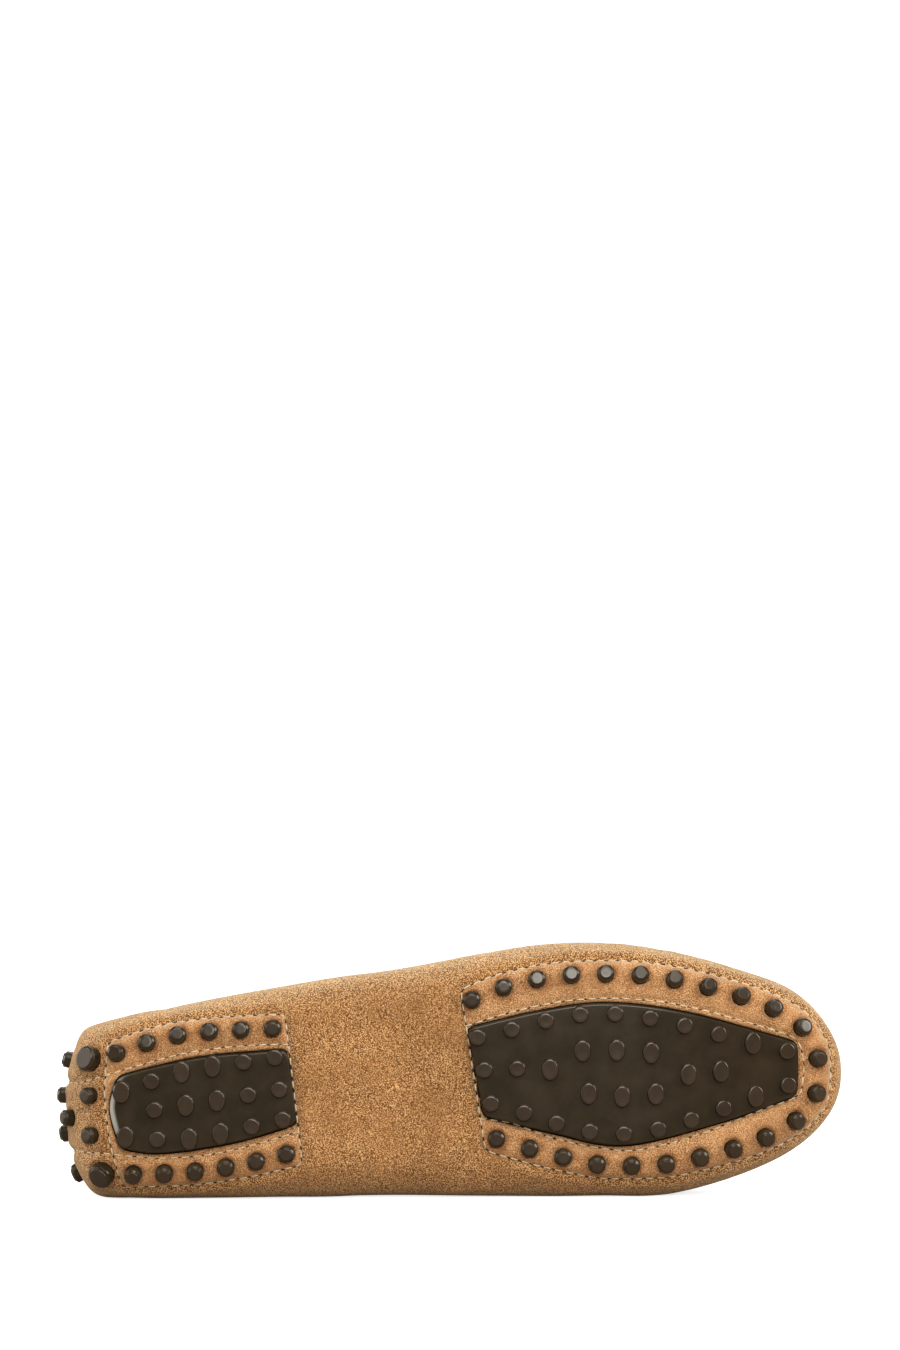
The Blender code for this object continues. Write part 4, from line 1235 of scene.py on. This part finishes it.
def insole(material):
    """The sock over the insole."""
    rays = all_rays(INSOLE_STEP, INSOLE_FAN)
    outline = np.array([ray.origin + ray.width * ray.direction for ray in rays])
    outline = offset(closed_outline([outline], PATCH_SOFTNESS), INSOLE_INSET, closed_path=True)
    rounded = closed_outline([outline], INSOLE_SOFTNESS, INSOLE_EDGE_SPACING)
    plan, faces, rim = plan_mesh(rounded, [], INSOLE_SPACING)
    relief = lip_relief(nearest([closed(outline)], plan), INSOLE_LIP)
    top = on_sole(plan, -(INSOLE_DEPTH + INSOLE_THICKNESS + relief))
    bottom = on_sole(plan, -LINING_DEPTH - LINING_THICKNESS)
    return slab(top, bottom, faces, rim).make("insole_sock", material)


def knot_place():
    points, _ = on_vamp(np.array((KNOT_CENTRE,)))
    return points[0] + np.array((0, 0, GAP + APRON_THICKNESS + KNOT_RADIUS))


def hang(spread):
    """Direction in which a tassel hangs as the shoe lies."""
    lean = math.radians(LEAN_DEG)
    return unit(np.array((spread, math.cos(lean), math.sin(lean))))


def frame_of(axis):
    """Two directions square to an axis and to each other."""
    side = unit(np.cross(axis, (0.0, 0.0, 1.0)))
    return side, np.cross(axis, side)


def lathe(shape, origin, axis, rows, sides):
    """A turned form, by distance along an axis and radius."""
    side, rise = frame_of(axis)
    shape.stack([ellipse(origin + down * axis, r * side, r * rise, sides) for down, r in rows])


# The knot: a bulb, three turns of lace round it that lean a little, and the cords' sides
KNOT_SIDES = 32
BULB_WIDTH, BULB_END, BULB_ROWS = 0.82, 0.25, 14
LACE_TURNS = (-0.75, 0.0, 0.75)
LACE_SPACING, LACE_LEAN = 2.1, 0.5
LACE_REACH, LACE_DRAW, LACE_PROUD = 0.78, 0.7, 0.25
LACE_RADIUS, LACE_SIDES, LACE_POINTS = 0.85, 10, 40
CORD_START, CORD_SIDES, CORD_POINTS = 0.5, 12, 16


def tie(material):
    """A leather knot of wound lace, with two cords that run to the tassels."""
    knot = knot_place()
    shape = Shape()
    turn = np.linspace(BULB_END, math.pi - BULB_END, BULB_ROWS)
    bulb = np.column_stack((KNOT_RADIUS * -np.cos(turn), BULB_WIDTH * KNOT_RADIUS * np.sin(turn)))
    lathe(shape, knot, np.array((1.0, 0.0, 0.0)), bulb, KNOT_SIDES)
    for aside in LACE_TURNS:
        reach = KNOT_RADIUS * LACE_REACH * math.sqrt(1 - (aside * LACE_DRAW) ** 2) + LACE_PROUD
        middle = knot + np.array((aside * LACE_SPACING, 0.0, 0.0))
        half_axes = np.array(((0.0, reach, 0.0), (LACE_LEAN, 0.0, reach)))
        tube(shape, ellipse(middle, *half_axes, LACE_POINTS), LACE_RADIUS, LACE_SIDES, closed_path=True)
    run = np.linspace(CORD_START, KNOT_RADIUS + CORD_LENGTH, CORD_POINTS)[:, None]
    for spread in (CORD_SPREAD, -CORD_SPREAD):
        tube(shape, knot + run * hang(spread), CORD_RADIUS, CORD_SIDES)
    return shape.make("tie_lace", material)


TASSEL_CAP = (
    (0.0, 1.0), (0.3, 1.6), (1.2, 2.3), (2.4, 2.75), (3.0, 3.0), (3.4, 3.25), (3.9, 3.3), (4.2, 3.1),
    (4.5, 3.3), (5.0, 3.45), (5.4, 3.3), (5.7, 3.15), (6.0, 3.4), (6.5, 3.5), (6.9, 3.2), (7.1, 2.6),
)
TASSEL_CORE = ((6.5, 2.2), (19.2, 2.9), (19.6, 2.4))
CORE_SIDES = 16

# Strips leave the cap at the root's radius and soon hang at that of their layer. They sway, are longer and
# spread unevenly, by waves over their numbers.
TASSEL_STRIPS = 22
STRIP_START, STRIP_END = 5.8, 21.0
STRIP_ROOT, STRIP_LAYERS, STRIP_SETTLING = 2.6, (3.05, 3.75), 1.6
STRIP_HALF_WIDTH, STRIP_HALF_THICKNESS = 0.46, 0.3
STRIP_SECTIONS = 9
STRIP_SWAY, SWAY_WAVE, SWAY_SHIFT = 0.06, 2.3, 1.7
STRIP_UNEVEN, UNEVEN_WAVE = 0.55, 3.1
STRIP_FLARE, FLARE_WAVE = 0.25, 1.9

SQUARE = ((-1, -1), (1, -1), (1, 1), (-1, 1))


def strip(top, down, layer, number):
    """Sections of one strip of a tassel, from its root to its end."""
    side, rise = frame_of(down)
    angle = 2 * math.pi * (number + 0.5 * layer) / TASSEL_STRIPS
    sway = STRIP_SWAY * math.sin(SWAY_WAVE * number + SWAY_SHIFT * layer)
    end = STRIP_END + STRIP_UNEVEN * math.sin(UNEVEN_WAVE * number + layer)
    flare = STRIP_FLARE * math.sin(FLARE_WAVE * number)
    sections = []
    for t in np.linspace(0, 1, STRIP_SECTIONS):
        a = angle + sway * t
        outwards = math.cos(a) * side + math.sin(a) * rise
        across = math.cos(a) * rise - math.sin(a) * side
        settled = math.sin(min(1, t * STRIP_SETTLING) * math.pi / 2)
        radius = STRIP_ROOT + (STRIP_LAYERS[layer] - STRIP_ROOT) * settled + flare * t
        middle = top + down * (STRIP_START + (end - STRIP_START) * t) + outwards * radius
        half_axes = np.array((STRIP_HALF_WIDTH * across, STRIP_HALF_THICKNESS * outwards))
        sections.append(middle + np.array(SQUARE) @ half_axes)
    return sections


def tassel(name, spread, material):
    """A tassel: a bound cap over a skirt of leather strips, which spread a little towards their ends."""
    down = hang(spread)
    top = knot_place() + down * (KNOT_RADIUS + CORD_LENGTH + GAP)
    shape = Shape()
    lathe(shape, top, down, TASSEL_CAP, KNOT_SIDES)
    lathe(shape, top, down, TASSEL_CORE, CORE_SIDES)
    for layer in range(len(STRIP_LAYERS)):
        for number in range(TASSEL_STRIPS):
            shape.stack(strip(top, down, layer, number))
    return shape.make(name, material, smooth=False)


# Stitches

SEAM_STEP = 0.2
STITCH_POINTS = 7
THREAD_SIDES = 8
THREAD_LIFT, THREAD_DIVE, THREAD_TAPER = 0.2, 0.4, 0.25

# Needle slots, drawn as dark discs of painted shade, by size and height over the groove
SLOT_ROWS = ((1.0, -0.4), (1.0, 0.04), (0.7, 0.1))
SLOT_SIDES = 12

# Stitches over the ridge: the angle to each side, their points, and their thickness and rise in threads
WHIP_REACH, WHIP_POINTS = 0.62 * math.pi, 11
WHIP_THICKNESS, WHIP_RISE = 1.3, 0.5


def seam_normals(line):
    """Outward normals of the suede along a seam: away from the middle of the section it lies on."""
    found = []
    for p in line:
        spot, normal, _, _ = VAMP.find_nearest(Vector(p))
        x = min(max(p[0], HEEL_CENTRE), TOE_CENTRE)
        away = spot - Vector((x, spine(x), WITHIN))
        found.append((normal if normal.dot(away) > 0 else -normal)[:])
    return np.array(found)


def sew(thread, hole_shades, line):
    """Adds stitches along a line of points on the suede, and between them dark discs of painted shade in the
    needle slots.
    """
    length = along(line)[-1]
    count = max(1, round(length / STITCH_PITCH))
    pitch = length / count
    fine = pick(line, np.arange(0, length, SEAM_STEP))
    ahead, normals = headings(fine), seam_normals(fine)
    share = np.linspace(-1, 1, STITCH_POINTS)
    lift = -GROOVE_DEPTH + THREAD_LIFT - THREAD_DIVE * share**4
    radius = THREAD_RADIUS * (1 - THREAD_TAPER * share**4)
    for k in range(count):
        start = (k + 0.5 * (1 - THREAD_SHARE)) * pitch
        spots = np.linspace(start, start + THREAD_SHARE * pitch, STITCH_POINTS)
        index = np.clip((spots / SEAM_STEP).astype(int), 0, len(fine) - 1)
        tube(thread, pick(line, spots) + normals[index] * lift[:, None], radius, THREAD_SIDES)
        # Each needle slot gets a dark disc of painted shade
        middle = pick(line, k * pitch)[0]
        i = min(int(k * pitch / SEAM_STEP), len(fine) - 1)
        half_axes = np.array((SLOT_SIZE[0] * ahead[i], SLOT_SIZE[1] * np.cross(normals[i], ahead[i])))
        rings = []
        for size, height in SLOT_ROWS:
            spot = middle + (height - GROOVE_DEPTH) * normals[i]
            rings.append(ellipse(spot, *(size * half_axes), SLOT_SIDES))
        hole_shades.stack(rings)


def whip(thread):
    """Stitches over the apron's ridge, one in each pinch."""
    middle, normals, run = ridge_line()
    ahead = headings(middle)
    turn = np.linspace(-WHIP_REACH, WHIP_REACH, WHIP_POINTS)[:, None]
    radius = RIDGE_RADIUS - RIDGE_PINCH + WHIP_RISE * THREAD_RADIUS
    for distance in np.arange(1.5 * GATHER_PITCH, run[-1] - GATHER_PITCH, GATHER_PITCH):
        i = np.searchsorted(run, distance)
        aside = unit(np.cross(ahead[i], normals[i]))
        arc = middle[i] + radius * (np.sin(turn) * aside + np.cos(turn) * normals[i])
        tube(thread, arc, WHIP_THICKNESS * THREAD_RADIUS, THREAD_SIDES)


def all_stitches(thread_material, hole_shade_material):
    """Every row of stitches, as one piece of thread and one of dark discs of painted shade in the needle
    slots.
    """
    thread, hole_shades = Shape(), Shape()
    for line in SEAMS.values():
        sew(thread, hole_shades, line)
    whip(thread)
    return thread.make("stitching_thread", thread_material), hole_shades.make("stitching_hole_shades", hole_shade_material)


# Materials

def new_material(name):
    """A material with its tree and its main shader."""
    material = bpy.data.materials.new(name)
    material.use_nodes = True
    tree = material.node_tree
    return material, tree, tree.nodes["Principled BSDF"]


def feed(tree, node, values):
    """Gives inputs of a node, by name or number, what they take: a socket, a colour or a plain number."""
    for key, given in values.items():
        if isinstance(given, bpy.types.NodeSocket):
            tree.links.new(given, node.inputs[key])
        else:
            node.inputs[key].default_value = (*given, 1.0) if isinstance(given, tuple) else given


def texture(tree, kind, values):
    """A texture in the shoe's own place."""
    node = tree.nodes.new(kind)
    feed(tree, node, {"Vector": tree.nodes.new("ShaderNodeTexCoord").outputs["Object"], **values})
    return node


def noise(tree, scale, detail):
    values = {"Scale": scale, "Detail": detail, "Roughness": 0.55}
    return texture(tree, "ShaderNodeTexNoise", values).outputs["Fac"]


def painted(tree, name):
    """The numbers painted on a mesh by a name, 0 where there are none."""
    node = tree.nodes.new("ShaderNodeAttribute")
    node.attribute_name = name
    return node.outputs["Fac"]


def ramp(tree, value, stops):
    """Colours by a value, between stops. A stop's colour may be one number, for grey."""
    node = tree.nodes.new("ShaderNodeValToRGB")
    elements = node.color_ramp.elements
    while len(elements) < len(stops):
        elements.new(0.5)
    for element, (position, colour) in zip(elements, stops):
        element.position = position
        element.color = (*np.broadcast_to(colour, 3), 1.0)
    tree.links.new(value, node.inputs["Fac"])
    return node.outputs["Color"]


# Sockets of a mix node for colours
MIX_SHARE, MIX_A, MIX_B, MIX_RESULT = 0, 6, 7, 2


def mix(tree, kind, share, a, b):
    """Mixes two colours. Share and colours are sockets or plain values."""
    node = tree.nodes.new("ShaderNodeMix")
    node.data_type = "RGBA"
    node.blend_type = kind
    feed(tree, node, {MIX_SHARE: share, MIX_A: a, MIX_B: b})
    return node.outputs[MIX_RESULT]


def bump(tree, distance, *layers):
    """The normal of stacked bump layers, each a socket and a strength."""
    below = {}
    for height, strength in layers:
        node = tree.nodes.new("ShaderNodeBump")
        feed(tree, node, {"Height": height, "Strength": strength, "Distance": distance, **below})
        below = {"Normal": node.outputs["Normal"]}
    return below["Normal"]


def suede(name, dark, middle, light, grain):
    """Napped suede: clouds of brushed nap, coarse and fine grain, and stains where the mesh is painted."""
    material, tree, shader = new_material(name)
    coarse = noise(tree, scale=2600.0, detail=0.0)
    fine = noise(tree, scale=4800.0, detail=1.0)
    base = ramp(tree, coarse, ((0.4, dark), (0.5, middle), (0.6, light)))
    brushed = ramp(tree, noise(tree, scale=95.0, detail=2.0), ((0.36, 0.4), (0.6, 0.7)))
    # Grain at full contrast where rough nap and its painted shade and highlights are painted
    contrast = mix(tree, "MIX", painted(tree, "nap_and_shading"), brushed, (1.0, 1.0, 1.0))
    base = mix(tree, "MIX", contrast, middle, base)
    shades = ((0.35, (0.9, 0.88, 0.86)), (0.65, (1.08, 1.07, 1.06)))
    clouds = ramp(tree, noise(tree, scale=70.0, detail=3.0), shades)
    base = mix(tree, "MULTIPLY", 1.0, base, clouds)
    specks = ramp(tree, fine, ((0.34, (0.5, 0.44, 0.38)), (0.5, 1.0), (0.68, (1.5, 1.52, 1.52))))
    base = mix(tree, "MULTIPLY", grain, base, specks)
    blotches = ramp(tree, noise(tree, scale=260.0, detail=2.0), ((0.35, 0.3), (0.7, 1.0)))
    stained = mix(tree, "MULTIPLY", 1.0, painted(tree, "stain"), blotches)
    base = mix(tree, "MULTIPLY", stained, base, (0.66, 0.5, 0.38))
    feed(tree, shader, {
        "Base Color": base,
        "Roughness": 0.95,
        "Specular IOR Level": 0.15,
        "Sheen Weight": 0.85,
        "Sheen Roughness": 0.3,
        "Sheen Tint": (1.0, 0.84, 0.57),
        "Normal": bump(tree, 0.0005, (coarse, 0.8 * grain), (fine, 0.6 * grain)),
    })
    return material


def rubber(name):
    """Dark satin rubber, a little worn: shinier where it is rubbed, and pale where a highlight is painted on
    it.
    """
    material, tree, shader = new_material(name)
    wear = noise(tree, scale=120.0, detail=3.0)
    rubbed = painted(tree, "rubbed")
    base = ramp(tree, wear, ((0.35, (0.019, 0.012, 0.005)), (0.75, (0.028, 0.018, 0.008))))
    base = mix(tree, "ADD", rubbed, base, (0.004, 0.0006, 0.0006))
    feed(tree, shader, {
        # Pale painted highlight on the heel pad's rear bevel, where the mesh is painted for it
        "Base Color": mix(tree, "MIX", painted(tree, "rear_highlight"), base, (0.34, 0.32, 0.28)),
        "Roughness": ramp(tree, wear, ((0.3, 0.17), (0.7, 0.22))),
        "Specular IOR Level": ramp(tree, rubbed, ((0.0, 0.3), (1.0, 0.5))),
        "Specular Tint": (1.0, 0.95, 0.84),
        "Normal": bump(tree, 0.0003, (noise(tree, scale=2200.0, detail=2.0), 0.06)),
    })
    return material


def leather(name, dark, light):
    """Smooth leather with pores."""
    material, tree, shader = new_material(name)
    clouds = noise(tree, scale=70.0, detail=3.0)
    pores = texture(tree, "ShaderNodeTexVoronoi", {"Scale": 1400.0}).outputs["Distance"]
    feed(tree, shader, {
        "Base Color": ramp(tree, clouds, ((0.3, dark), (0.7, light))),
        "Roughness": ramp(tree, clouds, ((0.3, 0.48), (0.7, 0.62))),
        "Normal": bump(tree, 0.0002, (pores, 0.25)),
    })
    return material


def twine(name, dark, light):
    """Waxed thread."""
    material, tree, shader = new_material(name)
    feed(tree, shader, {
        "Base Color": ramp(tree, noise(tree, scale=700.0, detail=2.0), ((0.35, dark), (0.65, light))),
        "Roughness": 0.7,
        "Normal": bump(tree, 0.0002, (noise(tree, scale=3000.0, detail=2.0), 0.3)),
    })
    return material


def hole_shade(name):
    """Painted shade of needle slots: near-black discs that stand for the shadow in the holes."""
    material, tree, shader = new_material(name)
    darks = ((0.3, (0.012, 0.008, 0.006)), (0.7, (0.035, 0.022, 0.014)))
    base = ramp(tree, noise(tree, scale=900.0, detail=2.0), darks)
    feed(tree, shader, {"Base Color": base, "Roughness": 0.9})
    return material


# Stage

CAMERA_TURN_DEG, CAMERA_RISE_DEG, CAMERA_ROLL_DEG, CAMERA_DISTANCE = 0.0, 4.6, 0.3, 1.55
MM_PER_PIXEL = 0.3373
PHOTO_WIDTH, PHOTO_HEIGHT = 900, 1350
OBJECT_PIXEL = (446.5, 1065.8)
SENSOR = 36.0

# Softboxes by height and turn from straight in front of the sole, in degrees and metres. The large key stands
# over the camera, and the two at the heel shine on the studs of its back.
Softbox = namedtuple("Softbox", "name rise_deg turn_deg distance size power")
SOFTBOXES = (
    Softbox("key", 52, 0, 1.4, (1.2, 1.0), 11.5),
    Softbox("front", 21, 5, 1.5, (0.5, 0.46), 7.0),
    Softbox("top", 100, 0, 1.2, (0.9, 0.6), 2.0),
    Softbox("heel_side", 16, -76, 1.3, (1.2, 1.0), 6.0),
    Softbox("heel_back", 14, -112, 1.3, (0.5, 0.5), 5.0),
    Softbox("toe_side", 26, 70, 1.3, (0.6, 0.6), 11.0),
    Softbox("back", 50, 180, 1.4, (1.0, 0.8), 8.0),
)
SHOE_MIDDLE = (0.0, -0.02, 0.04)

WHITE = (1.0, 1.0, 1.0)
WORLD_SEEN, WORLD_FELT = 1.05, 0.32
FLOOR_HALF = 12.0
FLOOR_FELT = (0.42, 0.35, 0.28)


def way(rise_deg, turn_deg):
    """Direction from the shoe, by height and turn from straight in front of the sole."""
    rise, turn = math.radians(rise_deg), math.radians(turn_deg)
    return Vector((math.sin(turn) * math.cos(rise), -math.cos(turn) * math.cos(rise), math.sin(rise)))


def camera():
    """The photo's view: almost square to the sole, a little from above, with the shoe low in the frame."""
    back = way(CAMERA_RISE_DEG, CAMERA_TURN_DEG)
    centre = (CAD_BOX[0] + CAD_BOX[1]) / 2
    eye = centre + back * CAMERA_DISTANCE
    right = Vector((0, 0, 1)).cross(back).normalized()
    up = back.cross(right)
    aside = (PHOTO_WIDTH / 2 - OBJECT_PIXEL[0]) * MM_PER_PIXEL * MM
    above = (OBJECT_PIXEL[1] - PHOTO_HEIGHT / 2) * MM_PER_PIXEL * MM
    target = centre + right * aside + up * above
    data = bpy.data.cameras.new("camera")
    data.sensor_width = SENSOR
    data.lens = SENSOR * CAMERA_DISTANCE / (MM_PER_PIXEL * MM * PHOTO_HEIGHT)
    obj = add_object("camera", data)
    obj.location = eye
    roll = Matrix.Rotation(math.radians(-CAMERA_ROLL_DEG), 3, eye - target)
    obj.rotation_euler = (roll @ (eye - target).to_track_quat("Z", "Y").to_matrix()).to_euler()
    bpy.context.scene.camera = obj


def add_softbox(box):
    """A rectangular light that faces the shoe."""
    data = bpy.data.lights.new(box.name, "AREA")
    data.shape = "RECTANGLE"
    data.size, data.size_y = box.size
    data.energy = box.power
    away = way(box.rise_deg, box.turn_deg)
    obj = add_object(box.name, data)
    obj.location = Vector(SHOE_MIDDLE) + away * box.distance
    obj.rotation_euler = away.to_track_quat("Z", "Y").to_euler()


def seen_or_felt(tree, seen, felt, output):
    """Shows one shader to the camera and lets another light the scene."""
    path = tree.nodes.new("ShaderNodeLightPath")
    choose = tree.nodes.new("ShaderNodeMixShader")
    feed(tree, choose, {0: path.outputs["Is Camera Ray"], 1: felt.outputs[0], 2: seen.outputs[0]})
    feed(tree, output, {"Surface": choose.outputs[0]})


def white_world():
    """A background that looks white and lights the scene weakly."""
    world = bpy.data.worlds.new("studio")
    world.use_nodes = True
    tree = world.node_tree
    seen, felt = tree.nodes["Background"], tree.nodes.new("ShaderNodeBackground")
    feed(tree, seen, {"Color": WHITE, "Strength": WORLD_SEEN})
    feed(tree, felt, {"Color": WHITE, "Strength": WORLD_FELT})
    seen_or_felt(tree, seen, felt, tree.nodes["World Output"])
    bpy.context.scene.world = world


def white_floor():
    """A floor that looks white and throws a weaker, warm light back on the shoe."""
    material, tree, seen = new_material("floor_white")
    feed(tree, seen, {
        "Base Color": (0.7, 0.7, 0.7),
        "Roughness": 0.9,
        "Specular IOR Level": 0.0,
        "Emission Color": WHITE,
        "Emission Strength": 0.79,
    })
    felt = tree.nodes.new("ShaderNodeBsdfDiffuse")
    feed(tree, felt, {"Color": FLOOR_FELT})
    seen_or_felt(tree, seen, felt, tree.nodes["Material Output"])
    mesh = bpy.data.meshes.new("floor")
    mesh.from_pydata([(x * FLOOR_HALF, y * FLOOR_HALF, 0) for x, y in SQUARE], [], [(0, 1, 2, 3)])
    mesh.materials.append(material)
    floor = add_object("floor", mesh)


def studio():
    """White floor and background, with softboxes round the shoe."""
    white_world()
    white_floor()
    for box in SOFTBOXES:
        add_softbox(box)
    bpy.context.scene.view_settings.view_transform = "Standard"


TAN = suede("suede_tan", (0.108, 0.039, 0.010), (0.345, 0.158, 0.052), (0.76, 0.46, 0.205), 1.0)
TAN_SMOOTH = suede("suede_patch", (0.265, 0.122, 0.045), (0.52, 0.279, 0.119), (0.81, 0.51, 0.26), 0.8)
BROWN_RUBBER = rubber("rubber_brown")
TAN_LEATHER = leather("leather_tan", (0.34, 0.17, 0.07), (0.46, 0.25, 0.11))
PALE_LEATHER = leather("leather_lining", (0.44, 0.28, 0.15), (0.56, 0.37, 0.21))
CREAM_TWINE = twine("thread_cream", (0.56, 0.43, 0.26), (0.74, 0.61, 0.42))
# Near-black material of the painted shade in the needle slots
NEEDLE_HOLE_SHADE = hole_shade("needle_hole_shade")

PATCHES = (
    ("forefoot_patch", FOREFOOT, FOREFOOT_PAD_OUTLINE, FOREFOOT_TALL, FOREFOOT_SEAMS),
    ("heel_patch", HEEL, HEEL_PAD_OUTLINE, HEEL_TALL, HEEL_SEAMS),
)
TREADS = (
    ("forefoot_tread", FOREFOOT_PAD_OUTLINE, FOREFOOT_ROWS, FOREFOOT_TALL, 0.0),
    ("heel_tread", HEEL_PAD_OUTLINE, HEEL_ROWS, HEEL_TALL + TAB_TALL, 1.0),
)

place(paint_nap_and_shading(upper(TAN)), "suede", "upper")
for node, outline, pad, studs, seams in PATCHES:
    place(sole_patch(node + "_suede", outline, pad, studs, seams, TAN_SMOOTH), "suede", node)
place(paint_nap_and_shading(heel_tab(TAN)), "suede", "heel_tab")
place(paint_nap_and_shading(apron(TAN)), "suede", "apron")
place(paint_nap_and_shading(apron_ridge(TAN)), "suede")
place(paint_nap_and_shading(collar_binding(TAN)), "suede")
place(lining(PALE_LEATHER), "leather")
for node, outline, rows, tall, rear_round_and_highlight in TREADS:
    place(tread(node + "_rubber", outline, pad_studs(rows), tall, rear_round_and_highlight, BROWN_RUBBER), "rubber", node)
place(insole(PALE_LEATHER), "leather", "insole")
place(tie(TAN_LEATHER), "leather", "tie")
place(tassel("tassel_front_strips", CORD_SPREAD, TAN_LEATHER), "leather", "tassel_front")
place(tassel("tassel_rear_strips", -CORD_SPREAD, TAN_LEATHER), "leather", "tassel_rear")
for sewing in all_stitches(CREAM_TWINE, NEEDLE_HOLE_SHADE):
    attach(sewing, "root")

studio()
camera()
